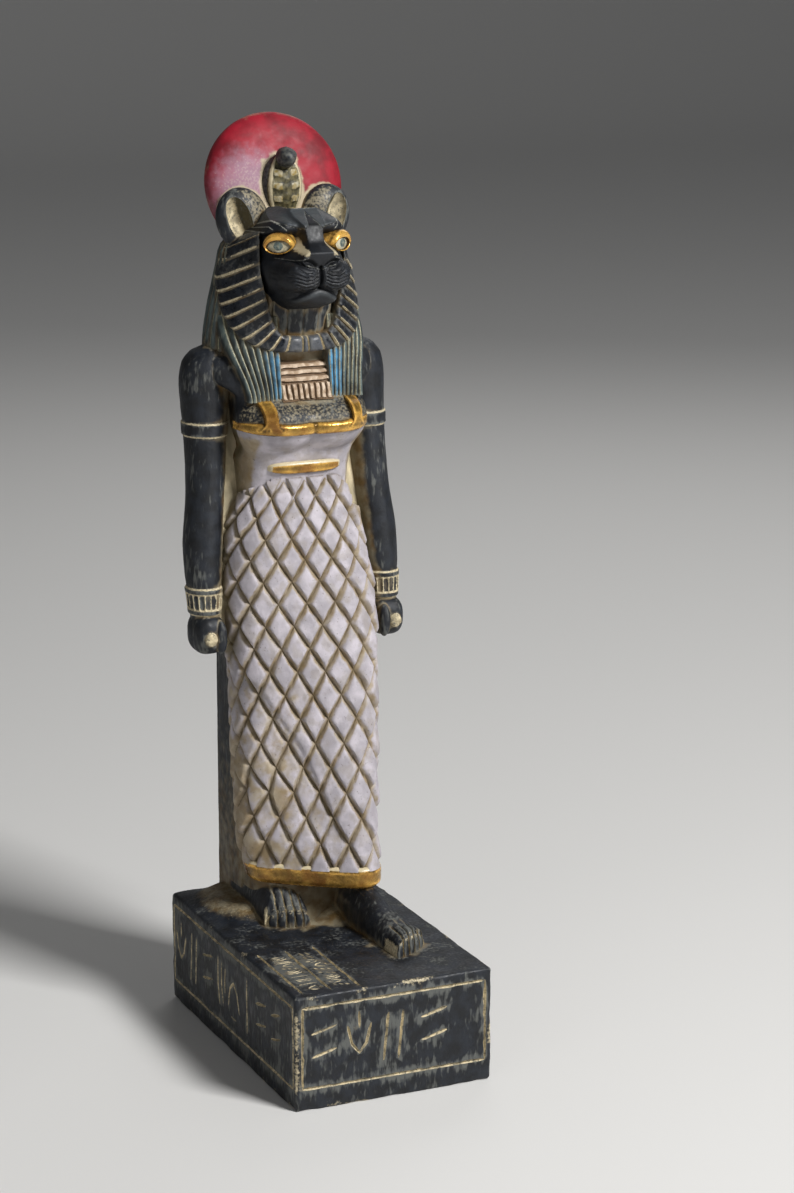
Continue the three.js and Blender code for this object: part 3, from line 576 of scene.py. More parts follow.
NET_START = 3.2  # along the cloth from the plane x = 0 to a column of the net's crossings
NET_TAPER = 0.155  # share by which the diamonds are higher at the hem, and lower at the top
NET_CELLS = 8  # grid cells across half a diamond on the front
LIP_POINTS = [(-40, 148), (-28, 155), (-19, 158.5), (-10, 162.5), (0, 163.6), (9, 162.6), (16, 159.2)]
LIP = through([*LIP_POINTS, (20, 150), (40, 146)])  # height of the net's upper edge along the cloth
# Where the far leg's cloth sinks: along the cloth, and height
FOLD = [(-34, 93), (-22, 91), (-12.3, 76), (-6.4, 66.7), (2, 47.4), (7, 33), (10, 20)]
LIP_DROP = 3.2  # from the net down to the plain cloth above it
FOLD_DEEP = 1.1


def dress():
    """The dress and its net: the taut plan, moved out by a pillow over each diamond and in along its grooves.

    With p and q the places across the two families of grooves, counted in grooves, each diamond rises with
    the eased distance to its four grooves, and its lower part stands proud of the diamond below it.
    """
    s = sizes()
    columns, back_columns = 13, 3
    rows = round(2 * (DRESS_TOP - HEM_TOP) / s.net_height)
    front = np.arange(-8 * NET_CELLS, 8 * NET_CELLS + 1) / NET_CELLS
    sides = np.concatenate([8 + np.arange(1, 9) / 4, [11, 12]])
    column = np.concatenate([[-columns], -sides[::-1], front, sides])
    row = np.arange(rows * (NET_CELLS - 1) + 1) / (NET_CELLS - 1)
    table = [net_place(column, r, columns, rows, back_columns, s) for r in row]
    x, y, nx, ny, z, along = (np.array(part) for part in zip(*table))
    p, q = (column + row[:, None]) / 2, (column - row[:, None]) / 2
    pitch = s.net_width * s.net_height / 2 / math.hypot(s.net_width / 2, s.net_height / 2)
    p_away, q_away = pitch * np.abs(p - np.round(p)), pitch * np.abs(q - np.round(q))
    nearest = np.minimum(p_away, q_away)
    place = np.stack([x, y, z], -1)
    wobble = lumps(place, 9, 3)
    nearest = nearest + 0.12 * lumps(place, 2.2, 8)
    pillow = smooth(p_away / 1.7) * smooth(q_away / 1.7)
    height_in_cell = (p % 1) - (q % 1)
    lean = (0.34 + 0.26 * smooth((80 - z) / 55)) * height_in_cell
    at_front = smooth((columns - back_columns + 0.5 - np.abs(column)) * 2)
    relief = s.net_relief * (pillow * (0.6 - lean + 0.12 * wobble) - 0.42 * bell(nearest, 0.5) - 0.1)
    dropped = LIP_DROP * smooth((z - LIP(along) - 1.2 + 1.5 * bell(p_away + q_away, 2.2)) / 1.1)
    below = fold_depth(along, z)
    out = relief * at_front * (1 - 0.9 * smooth(dropped)) - dropped - FOLD_DEEP * below
    line = bell(nearest, 0.46 + 0.12 * wobble) * at_front * (1 - smooth(dropped - 0.5))
    border = bell(np.maximum(nearest - 0.45, 0), 1.05 + 0.5 * wobble)
    lower_left = smooth((4 - along) / 20) * smooth((96 - z) / 44)
    bare = bell(np.hypot((along + 8) / 8, (z - 88) / 14), 1) + bell(np.hypot(along / 6, (z - 38) / 8), 1)
    top = smooth((z - LIP(along) + 9) / 7) * smooth(np.abs(along - 1) / 12 - 0.2)
    aside = smooth((np.abs(along + 3) - 20) / 12)
    patchy = 0.62 + 0.38 * lumps(place, 5, 13)
    stain = np.maximum(0.75 * border, (lower_left + 0.45 * bare + 0.6 * top + 0.6 * aside) * patchy)
    stain = np.maximum(stain, 0.5 * bell(below - 0.9, 0.25))
    parity = (np.floor(column)[None, :-1] + np.floor(row[:-1])[:, None]) % 2
    parity = np.concatenate([parity, (np.floor(column[-1]) + np.floor(row[:-1]))[:, None] % 2], 1)
    rings = grid(x + out * nx, y + out * ny, z, line, 0.0, stain)
    return tube(rings, turned=parity != 0)


def fold_depth(along, z):
    """1 just below the line where the cloth sinks between the legs, 0 above it, easing out further below."""
    at, edge = np.array(FOLD).T
    side = np.interp(z, edge[::-1], at[::-1]) - along
    ends = smooth((96 - z) / 10) * smooth((z - 24) / 12)
    return smooth(side / 2.2 + 0.4) * (1 - 0.85 * smooth((side - 3) / 16)) * ends


def hem():
    """The gold hem: the plan between two heights, moved out by a rounded flat band."""
    s = np.linspace(0, 1, 13)[:, None]
    angle = np.arange(-110, 110) * math.pi / 110
    x, y, nx, ny = taut_outline(angle, mix(HEM_BOTTOM, HEM_TOP, s))
    z = mix(HEM_BOTTOM, HEM_TOP + 0.3, s)
    out = HEM_PROUD * (1 - np.abs(2 * s - 1) ** 6) + 0.25 * s - 0.3
    wavy = 0.05 * lumps(grid(x, y, z)[..., :3], 4, 12)
    line = smooth((s + wavy - 0.8) / 0.1)
    return tube(grid(x + out * nx, y + out * ny, z, line, 0.0, 0.4 * (1 - s)))


HEM_PROUD = 1.1

# The torso, the bodice and the belt


def torso_solid():
    """The torso: superellipse sections by height, with the bust on their front."""
    angle = turns(96)
    z = np.linspace(TORSO_BOTTOM, TORSO_TOP, 56)[:, None]
    front, back = torso.front(z), torso.back(z)
    x, y = superellipse(angle, torso.a(z), (back - front) / 2, torso.power(z))
    middle = (front + back) / 2
    y = np.where(y < 0, torso_front(x, z), middle + y)
    x = x * flank(y, z)
    aside = smooth((np.abs(x) - 15.5) / 4.5) * smooth((181 - z) / 5)
    speckled = 0.75 * smooth((z - 183) / 2) * smooth((21 - y) / 4)
    return tube(grid(x, y, z, 0.0, speckled, np.maximum(aside, 0.35 * smooth((158 - z) / 4))))


def torso_paints(middles):
    """Dark stone above the bodice's edge and at the back, and the dress's paint below it."""
    x, y, z = middles.T
    chest = (z > edge_height(x)) | (y > 32)
    return np.where(chest, PAINTS.index("stone"), PAINTS.index("dress"))


TORSO_BOTTOM, TORSO_TOP = 150.0, 213.0
EDGE = SimpleNamespace(half=24.6, z=181.8, high=2.1, upturn=0.6, proud=1.8)
STRAP = SimpleNamespace(x=16.2, half=1.9, flare=1.6, z=186.8, high=4.8, proud=2.2, lift=2.4)
BELT = SimpleNamespace(half=13.8, z=166.8, high=2.2, taper=0.6, proud=1.8)


def edge_height(x):
    """Middle of the bodice's gold edge, which turns up towards its ends."""
    return EDGE.z + EDGE.upturn * (x / EDGE.half) ** 2


def strip(across, up, place, proud, line=None, round_ends=False):
    """A band on the torso's front. It stands out by proud times the root of 1 less 0.9 v to the fourth."""

    def points(u, v, front):
        x, z = place(u, v)
        crown = np.sqrt(np.clip(1 - 0.9 * v**4, 0, 1))
        if round_ends:
            crown = crown * np.sqrt(np.clip(1 - u**10, 0, 1))
        y = torso_front(x, z) + np.where(front, -(proud(v) if callable(proud) else proud) * crown, 4)
        return grid(x, y, z, 0.0 if line is None else line(u, v))

    return slab(across, up, points)


def bodice():
    """The gold edge, its two straps with their flared feet, and the belt."""

    def edge_place(u, v):
        at_strap = bell(np.abs(u) - STRAP.x / EDGE.half, 0.14) * (v > 0)
        high = EDGE.high * (1 - 0.35 * np.abs(u) ** 6) + 0.5 * at_strap
        return EDGE.half * u, edge_height(EDGE.half * u) + high * v

    def belt_place(u, v):
        return BELT.half * u, BELT.z + BELT.high * np.sqrt(1 - 0.86 * u**4) * v

    def belt_line(u, v):
        return np.maximum(smooth((v - 0.35) / 0.3), 0.9 * smooth((np.abs(u) - 0.86) / 0.08))

    def strap_place(side):
        def place(u, v):
            half = STRAP.half + 2.4 * smooth((-0.1 - v) / 0.9) ** 2 + 0.3 * smooth(v)
            return side * STRAP.x + half * u, STRAP.z - 0.6 + (STRAP.high + 0.4) * v

        return place

    def strap_proud(v):
        return STRAP.proud + STRAP.lift * smooth((v + 0.6) / 1.6)

    add_form("bodice_edge", strip(80, 10, edge_place, EDGE.proud, round_ends=True), "gold")
    add_form("belt", strip(48, 10, belt_place, BELT.proud, belt_line, True), "gold")
    for side, name in SIDES:
        add_form("strap_" + name, strip(14, 20, strap_place(side), strap_proud), "gold")


# The arms, the fists and the web of stone beside them

arm = profiles(
    "x y r deep",
    (104, 34.4, 27.8, 4.6, 1.15),
    (108, 34.4, 27.8, 5.0, 1.15),
    (115, 34.4, 28.2, 5.2, 1.15),
    (122, 34.4, 29, 5.7, 1.15),
    (129, 34.2, 30, 6.5, 1.15),
    (141, 33.5, 31.5, 7.0, 1.15),
    (154, 32.1, 33, 6.7, 1.2),
    (166, 31.1, 34.5, 7.0, 1.2),
    (180, 30.4, 36.5, 7.7, 1.15),
    (189, 30.0, 37.5, 8.5, 1.1),
    (196.5, 29.6, 38, 9.0, 1.1),
    (202, 29, 38, 8.7, 1.1),
    (206.5, 27.6, 38, 6.9, 1.1),
    (209.5, 26.4, 38, 3, 1.1),
)
ARMLET = (177.4, 182.0)
BRACELET = (114.5, 124.0)
BAR_FIELD = (116.5, 122.0)  # sunk part of a bracelet
BAND_PROUD = 0.8
BAR_COUNT = 18  # upright bars round a bracelet


def arm_solid(side):
    """An arm: rings of its profile, thicker at its armlet and bracelet, whose bars stand in a sunk field."""
    fine = [np.arange(low - 1, high + 1, 0.5) for low, high in (BRACELET, ARMLET)]
    heights = np.concatenate([np.arange(105, 204, 2.8), np.linspace(204, 209.5, 10), *fine])
    z = np.unique(heights.round(3))[:, None]
    angle = turns(54)
    bar = np.cos(BAR_COUNT * angle) ** 4
    field = inside(z, *BAR_FIELD)
    cuff = inside(z, *BRACELET)
    armlet = inside(z, *ARMLET)
    out = BAND_PROUD * (cuff + 0.7 * armlet) - 0.55 * field * (1 - bar)
    edges = [bell(z - at, 0.42) for at in (*BRACELET, *ARMLET, *BAR_FIELD)]
    line = np.maximum(np.max(edges, 0), 0.8 * field * bar)
    radius = arm.r(z) + out
    x = side * arm.x(z) + radius * np.sin(angle)
    y = arm.y(z) - radius * arm.deep(z) * np.cos(angle)
    # Ochre-cream stain on each arm's inner side and up to the shoulder, made stronger on the figure's left
    # arm to stand for light on that side: partly stain, partly painted light.
    inner = smooth((-side * np.sin(angle) - 0.35) / 0.5)
    shoulder = inner * smooth((z - 168) / 14) * (0.75 if side < 0 else 1)
    stain = np.maximum((0.4 if side < 0 else 0.7) * inner, shoulder)
    return tube(grid(x, y, z, line, 0.0, stain))


FIST = SimpleNamespace(x=34.6, y=26.4, z=107.6, a=5.8, b=8.2, c=7.2)
THUMB = SimpleNamespace(inward=3.0, ahead=6.9, below=0.6, radii=(2.2, 2.9, 6.0))
ROD = SimpleNamespace(radius=2.3, length=18.4, outward=1.0, below=0.8)


def fist(side, name):
    """A closed fist: a squared ball with two finger ridges on its outer side, a thumb and a rod's ends."""
    x, y, z = sphere(56, 37)
    outer = smooth((side * x - 0.1) / 0.5)
    fingers = np.abs(np.sin(2 * math.pi * (0.5 + 0.5 * power(y, 0.7))))
    gap = bell(fingers, 0.16) * outer * smooth((0.75 - z) / 0.5)
    block_x = side * FIST.x + FIST.a * power(x, 0.7) * (1 - 0.12 * gap)
    block_y = FIST.y + FIST.b * power(y, 0.7)
    block_z = FIST.z + FIST.c * power(z, 0.7) * (1 - 0.05 * gap)
    rings = grid(block_x, block_y, block_z, 0.35 * gap)
    poles = np.array([rings[0].mean(0), rings[-1].mean(0)])
    poles[:, 2] = FIST.z - FIST.c, FIST.z + FIST.c
    add_form("fist_" + name, tube(rings, poles), "stone")
    middle = (side * (FIST.x - THUMB.inward), FIST.y - THUMB.ahead, FIST.z - THUMB.below)

    def nail(x, y, z):
        flat = bell(np.hypot(x / 0.5, (z + 0.55) / 0.35), 1)
        return -0.04 * flat, (0.25 * flat, 0.0, 0.0)

    add_form("thumb_" + name, ball(middle, THUMB.radii, 24, 20, nail), "stone")
    along = np.array([-1, -0.96, -0.88, 0, 0.88, 0.96, 1])[:, None]
    round_off = ROD.radius * np.array([0.6, 0.86, 1, 1, 1, 0.86, 0.6])[:, None]
    around = turns(30)
    rod_x = side * (FIST.x + ROD.outward) + round_off * np.sin(around)
    rod_z = FIST.z - ROD.below + round_off * np.cos(around) * 1.15
    rod_y = FIST.y + along * ROD.length / 2 + 0.3 * np.sin(3 * around) * (np.abs(along) > 0.9)
    add_form("rod_" + name, tube(grid(rod_x, rod_y, rod_z, 0.0, 0.0, 0.2)), "cream")


WEB = SimpleNamespace(bottom=102, top=199, inner=12, ahead=1.5, back=50, behind=4)


def web(side):
    """Stone between an arm and the body: a block whose front lies just ahead of the arm's middle."""

    def place(u, v, w):
        z = mix(WEB.bottom, WEB.top, (w + 1) / 2)
        out = (side * u + 1) / 2
        x = mix(WEB.inner, arm.x(z), out)
        back = mix(WEB.back, arm.y(z) + WEB.behind, out)
        y = mix(arm.y(z) - WEB.ahead, back, (v + 1) / 2)
        return grid(side * x, y, z)

    return block(*(np.linspace(-1, 1, count) for count in (13, 7, 50)), place)


# The feet and the stone that fills in between and behind them

TOES = 5
TOE_CUT = 1.7
TOE_SHARE = 0.22  # of the foot's length
SUNK = 2  # how far the forms on the plinth reach down into it
FILL = SimpleNamespace(x=-1, y=30, a=18, b=20, power=3)
HEEL_LAP = 4
FORWARD = SimpleNamespace(front=-41, back=FILL.y - FILL.b + HEEL_LAP, slant=8.5)
REAR = SimpleNamespace(front=2.6, back=44.6, slant=5)
forward_foot = profiles(
    "height half x",
    (0, 6.2, 6.6, 17.6),
    (0.1, 7.8, 7.0, 17.8),
    (0.26, 8.6, 6.6, 17),
    (0.44, 11, 5.6, 15.6),
    (0.61, 14.5, 5.4, 14.6),
    (0.87, 16.5, 6, 14),
    (1, 16.5, 6, 14),
)
rear_foot = profiles(
    "height half x",
    (0, 6.6, 7, -11.2),
    (0.1, 9.6, 7.6, -11.4),
    (0.22, 14, 7.4, -11.6),
    (0.4, 16, 7.4, -12),
    (1, 16, 7, -12.4),
)


def foot(shape, run, side):
    """A bare foot: its top follows the instep, with a cut between each two toes that fades behind them."""
    us = np.linspace(-1, 1, 8 * TOES + 1)
    vs = np.concatenate([np.linspace(-1, -0.2, 30), np.linspace(-0.2, 1, 16)[1:]])
    ws = np.concatenate([[-1, 0], np.linspace(0.2, 1, 9)])

    def place(u, v, w):
        along = ((v + 1) / 2) ** 1.5
        outer = (1 + side * u) / 2
        toe = np.abs(np.sin((TOES / 2) * math.pi * (u + 1)))
        gap = bell(toe, 0.3)
        ahead = smooth(1 - along / TOE_SHARE)
        groove = gap * smooth((1.25 - along / TOE_SHARE) / 0.5)
        y = mix(run.front, run.back, along) + ahead * (run.slant * outer + 1.0 * gap + 1.6 * u * u)
        big_toe = 1 + 0.1 * bell(outer - 0.05, 0.2) * ahead
        top = shape.height(along) * (1 - 0.45 * np.abs(u) ** 3) * big_toe - TOE_CUT * groove
        nail = bell(np.hypot((toe - 1) / 0.35, (along - 0.025) / 0.02), 1) * ahead
        top = top - 0.35 * nail
        # the sides bulge and the edge between the top and the sides is rounded
        high = np.clip((w + 1) / 2, 0, 1)
        bulge = 1 + 0.07 * np.sin(math.pi * high) - 0.04 * high**6
        z = mix(-SUNK, top, high)
        fore = 1.3 * bell((v + 1) / 0.12, 1) * high**3
        rim = bell(np.hypot((toe - 1) / 0.5, (along - 0.03) / 0.03) - 1, 0.3) * ahead * high**2
        line = np.clip(1.2 * groove * high + 0.6 * rim + 0.8 * bell(z, 0.9), 0, 1)
        return grid(shape.x(along) + u * shape.half(along) * bulge, y + fore, z, line, 0.0, 0.25 * gap)

    return block(us, vs, ws, place)


def fill():
    """The stone round the ankles: a superellipse from the plinth up into the dress."""
    angle = turns(80)
    z = np.linspace(-SUNK, HEM_BOTTOM + SUNK, 16)[:, None]
    x, y = superellipse(angle, FILL.a, FILL.b, FILL.power)
    return tube(grid(FILL.x + x, FILL.y + y, z, 0.0, 0.35, 0.9))


# The face

FACE_BOTTOM, FACE_TOP, FACE_BACK = 219.0, 257.7, 37.0
FACE_TURN = 5  # how far the outer edge of the face turns back
HEAD_SLOPE = 5  # how far the top of the head falls from the brow to its back
JAW = [(219, 7), (223, 10), (229, 13), (238, 15.4), (245, 16.6), (248, 15.8), (251, 14.2)]
jaw = through([*JAW, (253.4, 12.4), (255.4, 10.8), (257, 8.2), (257.7, 6)])  # half width of the face
CAP_EDGE = [(0, 256.4), (0.9, 255.0), (2.6, 251.9), (4.2, 251.3), (7, 252.2), (11, 253.5), (17, 255.2)]
MOUTH = [(0, 231.8), (3.4, 230.7), (7, 228.7), (9, 227.5)]
WHISKER_ENDS = (8.6, 10.6, 11.0, 10.6, 9.6, 8.2)
WHISKERS = [
    [(1.9, 237.9 - 1.15 * k), (3.6, 237.0 - 1.15 * k), (6.2, 236.9 - 1.18 * k), (end, 238.8 - 1.34 * k)]
    for k, end in enumerate(WHISKER_ENDS)
]
PAD_EDGE = [(4.6, 239.9), (7.5, 240.4), (10.6, 239.2), (12.6, 236.4)]
CHEEK_LINE = [(5, 242.4), (8.5, 241.2), (12.4, 241.4)]
BROW_LINES = [
    [(16.2, 254.8), (14.8, 249.6)],
    [(16, 254.6), (12.8, 251)],
    [(15.4, 254.2), (12, 253.8), (9, 251)],
]
NOSTRIL = [(2.5, 239.5), (4, 240.7), (5.6, 240.9)]
WING = [(7.4, 242.2), (7, 240.2), (4.8, 238.6), (2.6, 238.3)]


def face_relief(x, z):
    """How far the face's fine forms stand out at a place, with its line paint, second paint and stain.

    Grooves are bells of the distance to a line: the mouth, the philtrum, the nostrils, the wings of the nose,
    the whiskers and the scratches on the brow.
    """
    away = np.abs(x)

    def near(points, width):
        return stroke_depth(away, z, points, width)

    whiskers = np.max([near(points, 0.36) for points in WHISKERS], 0)
    mouth = near(MOUTH, 0.5)
    lip = near([(0, 230.0), (3.4, 228.9), (7, 227.1)], 1.2)
    philtrum = near([(0, 238.6), (0, 232)], 0.5)
    nostril = near(NOSTRIL, 0.8)
    wing = near(WING, 0.45)
    leather = near([(0.5, 238.2), (2.2, 239.0), (5.6, 239.7)], 0.32)
    cap_edge = through(CAP_EDGE)(away)
    cap = smooth((z - cap_edge + 0.4) / 1.1)
    cap_line = near(CAP_EDGE, 0.32)
    scratches = np.max([near(points, 0.28) for points in BROW_LINES], 0)
    cheek = near(CHEEK_LINE, 0.34)
    pad = near(PAD_EDGE, 0.3)
    socket = bell(np.hypot((away - 10.9) / 7.4, (z - 246.2) / 4.8), 1)
    bridge_side = bell(np.hypot((away - 5.4) / 1.6, (z - 247.6) / 3.4), 1)
    out = 0.45 * cap - 0.2 * cap_line + 0.4 * lip - 1.6 * socket
    out = out - 0.5 * bridge_side + 0.35 * pad + 0.3 * cheek
    out = out - 0.6 * whiskers - 1.0 * mouth - 0.9 * philtrum - 1.4 * nostril - 0.5 * wing + 0.25 * leather
    out = out - 0.25 * scratches
    corner = smooth((8.6 - away) / 3) * smooth((away - 3.6) / 1.2)
    corner = corner * smooth((z - 241.8) / 2.4) * smooth((249.8 - z) / 2.6)
    top = 0.6 * smooth((z - 257.1) / 0.5)
    between = np.clip(1 - whiskers, 0, 1) * bell(np.hypot((away - 8) / 4.4, (z - 233.6) / 4.2), 1)
    line = np.clip(0.55 * cap_line + 0.8 * scratches + 0.55 * cheek + 0.3 * pad + 0.5 * leather, 0, 1)
    tone = np.clip(corner + top, 0, 1)
    return out, line, tone, np.clip(0.6 * cap + 0.5 * lip * (1 - mouth) + 0.22 * between, 0, 1)


def face():
    """The face: a grid whose front is the blend of its mounds and the nose, less its grooves."""

    def points(u, v, front):
        z = np.interp(v, FACE_SPREAD, (FACE_BOTTOM, 226, 243, FACE_TOP))
        x = jaw(z) * (0.6 * u + 0.4 * u * np.abs(u))
        turn = FACE_TURN * (np.maximum(0, np.abs(u) - 0.7) / 0.3) ** 2
        out, line, tone, stain = face_relief(x, z)
        edge = smooth((1 - np.abs(u)) / 0.1)
        near = np.minimum(face_base(x, z) - out * edge + turn, FACE_BACK - 1)
        fall = 0.0 if front else HEAD_SLOPE * smooth((z - 246) / (FACE_TOP - 246))
        return grid(x, near if front else FACE_BACK, z - fall, line, tone, stain)

    return slab(96, 124, points)


FACE_SPREAD = (-1, -0.82, 0.34, 1)  # shares of the grid's height, close together over the muzzle
EYE = SimpleNamespace(x=10.8, y=13.0, z=246.2, turn=0.6, tilt=0.06)


def almond(across, high, angle):
    """A pointed oval: x is across times sin a, z is high times cos a, pulled in at its ends, fuller above."""
    lift = np.where(np.cos(angle) > 0, 1.08, 0.9)
    return across * np.sin(angle), high * lift * np.cos(angle) * (1 - 0.25 * np.sin(angle) ** 6)


# Rings of the eyeball and of its gold rim: half width, half height, how far out, second paint, stain
EYE_BALL = (
    # The middle of the iris takes less of the iris paint, so a lighter spot shows there: a painted glint.
    (0.3, 0.3, 2.2, 0.6, 0),
    (0.8, 0.8, 2.18, 0.8, 0),
    (1.5, 1.4, 2.1, 1, 0),
    (1.8, 1.65, 2.02, 0.25, 0.3),
    (2.8, 1.95, 1.85, 0, 0),
    (4.0, 2.2, 1.4, 0, 0.1),
    (4.5, 2.4, 0.7, 0, 0.8),
    (4.5, 2.4, -6, 0, 1),
)
EYE_RIM = (
    (0.5, 0.4, 0.6, 1, 0),
    (4.05, 2.0, 0.8, 1, 0),
    (4.15, 2.1, 1.6, 1, 0),
    (4.3, 2.3, 2.2, 0.6, 0),
    (4.6, 2.6, 2.4, 0, 0),
    (5.0, 3.1, 2.5, 0, 0),
    (5.4, 3.55, 1.9, 0, 0),
    (5.7, 3.85, 0.9, 0.5, 0.2),
    (5.7, 3.85, -6, 0, 0),
)


def eye(side, name):
    """An eye: rings from the iris out over the ball, and from the dark lid line out over the gold rim."""
    angle = turns(52)
    for part, table, paint in (("ball", EYE_BALL, "eye"), ("rim", EYE_RIM, "gold")):
        rings = []
        for across, high, out, tone, stain in table:
            x, z = almond(across, high, angle)
            lid = 0.5 * (part == "rim") * np.clip(np.cos(angle), 0, 1)
            lowered = 0.8 * smooth((5.7 - across) / 1.6)
            raised = 0.3 * (part == "ball") * (high < 1.9)
            y = -out - lid - 0.05 * (6 - np.abs(x))
            rings.append(grid(x, y, z + raised - lowered, 0.0, tone, stain))
        points, faces = tube(np.array(rings))
        centre = (side * EYE.x, EYE.y, EYE.z)
        points = turned_by(points, (0, side * EYE.tilt, side * EYE.turn), centre)
        add_form("eye_" + part + "_" + name, (points, faces), paint)


# The mane, a ring of locks round the face from one ear under the chin to the other

LOCK_DEPTH = 1.4
MANE_ROUND = 1.2
MANE_BACK = (9, 4)
mane_ring = profiles(
    "innerX innerY innerZ outerX outerY outerZ",
    (0, 0, 17.6, 213.0, 0, 16.8, 207.6),
    (0.16, 7, 17.6, 213.6, 9.6, 17.8, 207.9),
    (0.34, 11.4, 17.6, 218.2, 19.2, 21, 211.2),
    (0.5, 13.4, 18, 225, 24.2, 26.4, 217.4),
    (0.62, 14.6, 18.2, 230.4, 25.6, 30.4, 223.4),
    (0.76, 15.8, 18.8, 237.4, 25.8, 34.4, 230.4),
    (1, 15.6, 20, 250, 22, 37.5, 243.2),
)


def mane():
    """The mane: a band swept from ear to ear that saws up over each lock and drops into the next groove."""
    locks = sizes().locks
    steps = 10
    t = np.linspace(0, 1, locks * steps + 1)[:, None]
    sweep = 2 * t - 1
    side, away = np.where(sweep < 0, -1, 1), np.abs(sweep)
    angle = turns(32)
    across = 0.5 - 0.5 * power(np.sin(angle), 0.8)
    phase = (t * locks + 0.5) % 1
    phase = np.where(sweep < 0, 1 - phase, phase)
    bottom = smooth((0.2 - away) / 0.08)
    rounded_lock = np.clip(1 - (2 * phase - 1) ** 4, 0, 1) ** 0.6
    rib = mix(smooth(phase / 0.16) * (1 - 0.35 * phase), rounded_lock, bottom)
    groove = bell(np.minimum(phase, 1 - phase), 0.075)
    ridge = bell(phase - 0.2, 0.085) * (1 - bottom)
    edge = np.clip(1 - (2 * across - 1) ** 4, 0, 1) ** 0.5
    front = np.cos(angle) > 0
    rise = (LOCK_DEPTH * (rib + 0.15 * ridge) + 0.75 * MANE_ROUND) * edge
    deep = np.where(front, -rise, mix(*MANE_BACK, away**3) * edge)
    scallop = across * 0.05 * (rib - 0.3)
    reach = across + scallop * across
    x = side * mix(mane_ring.innerX(away), mane_ring.outerX(away), reach)
    y = mix(mane_ring.innerY(away), mane_ring.outerY(away), across) + deep
    z = mix(mane_ring.innerZ(away), mane_ring.outerZ(away), reach)
    broken = 0.6 + 0.4 * lumps(np.stack(np.broadcast_arrays(x, y, z), -1), 4, 5)
    thin = bell(phase - 0.15, 0.075) * (1 - bottom)
    line = np.clip(1.9 * thin * broken * smooth((across - 0.06) / 0.12) + groove * bottom, 0, 1)
    stain = 0.9 * groove * (1 - bottom)
    return tube(grid(x, y, z, line, 0.9 * bottom + 0.2, stain))


# The ears: rounded mounds with a tall hollow, their walls thick towards the brow

EAR = SimpleNamespace(x=15.4, y=36, z=252.4, lean=0.34, size=(9.6, 5.6, 11.4))
HOLLOW = SimpleNamespace(x=18.2, y=31, z=253.2, size=(4.2, 4.8, 8.6))


def ears():
    """Two ears, each an ellipsoid less a smaller one. The wall towards the brow is painted cream and grey."""
    for side, name in SIDES:
        turn = (0, side * EAR.lean, 0)

        def outer_relief(x, y, z):
            inner = smooth((-side * x + 0.15) / 0.5)
            front = smooth((-y - 0.1) / 0.4)
            return 0, (0.0, 0.95 * inner * front, 0.4 * inner * smooth((-z - 0.2) / 0.6))

        outer = ball((side * EAR.x, EAR.y, EAR.z), EAR.size, 56, 36, outer_relief, turn)
        ear = add_form("ear_" + name, outer, "stone")

        def hollow_relief(x, y, z):
            medial = smooth((-side * x - 0.2) / 0.35)
            return 0, (0.0, 0.0, 0.25 + 0.75 * medial)

        centre = (side * HOLLOW.x, HOLLOW.y, HOLLOW.z)
        hollow = ball(centre, HOLLOW.size, 44, 30, hollow_relief, turn)
        combined(ear, [add_form("hollow_" + name, hollow, "cream", group="hollows")], "DIFFERENCE")


# The wig, ribbed with strands, and its two lappets over the chest

WIG_BOTTOM, WIG_TOP = 190.0, 251.0
STRAND_DEPTH = 0.8
wig = profiles(
    "a front back",
    (190, 26, 34, 50),
    (203, 29.4, 27, 50.5),
    (209, 29.4, 25, 50.5),
    (222, 27.6, 25, 50),
    (236, 24.4, 25, 49),
    (242, 23, 28, 48),
    (247, 19, 32, 47),
    (251, 14, 36, 45),
)


def strand_relief(phase):
    """Height and line paint across one strand: a round back, a sharp groove, and cream along one flank."""
    back = np.clip(1 - (2 * phase - 1) ** 2, 0, 1) ** 0.7
    return back - 0.5, bell(phase - 0.28, 0.12) * 0.9


def wig_shell():
    """The wig: superellipse sections by height, moved out by the strands, which run out over the top."""
    strands = sizes().strands
    angle = turns(strands * 8)
    z = np.linspace(WIG_BOTTOM, WIG_TOP, 26)[:, None]
    height, line = strand_relief((angle * strands / (2 * math.pi) + 0.5) % 1)
    fade = 1 - smooth((z - 243) / 7)
    out = STRAND_DEPTH * 1.3 * height * fade
    front, back = wig.front(z), wig.back(z)
    x, y = superellipse(angle, wig.a(z) + out, (back - front) / 2 + out, 2.3)
    return tube(grid(x, (front + back) / 2 + y, z, line * fade, 0.0, 0.3 * (1 - height) * fade))


LAPPET = SimpleNamespace(
    z=(191, 220), ribs=8, inner=9, outer=(21.6, 27), inner_front=(15.6, 20), outer_front=(15.8, 34), back=38
)


def lappet(side):
    """A lappet: a slab that falls from beside the mane to the chest, eight strands across."""

    def points(u, v, front):
        t = (v + 1) / 2
        across = (1 + side * u) / 2
        x = mix(LAPPET.inner, mix(*LAPPET.outer, smooth(t * 1.2)), across)
        height, line = strand_relief((across * LAPPET.ribs) % 1)
        near = mix(mix(*LAPPET.inner_front, t), mix(*LAPPET.outer_front, t**1.2), across**1.8)
        foot = 1 - 0.5 * bell(t, 0.06)
        blue = bell(across - 0.12, 0.22) * (0.9 if side > 0 else 0.45) * smooth((0.95 - t) / 0.4)
        y = np.where(front, near - STRAND_DEPTH * (height + 0.5) * 1.4 * foot, LAPPET.back)
        return grid(side * x, y, mix(*LAPPET.z, t), line, blue + 0.25, 0.4 * (0.5 - height))

    return slab(10 * LAPPET.ribs, 20, points)


# The collar between the lappets, and the throat under the chin

COLLAR = SimpleNamespace(half=9.6, z=(190.8, 203.6), proud=0.8, strokes=9)
COLLAR_BARS = ((197.4, 198.8), (199.7, 200.9), (201.8, 203.0))  # their lower and upper edges


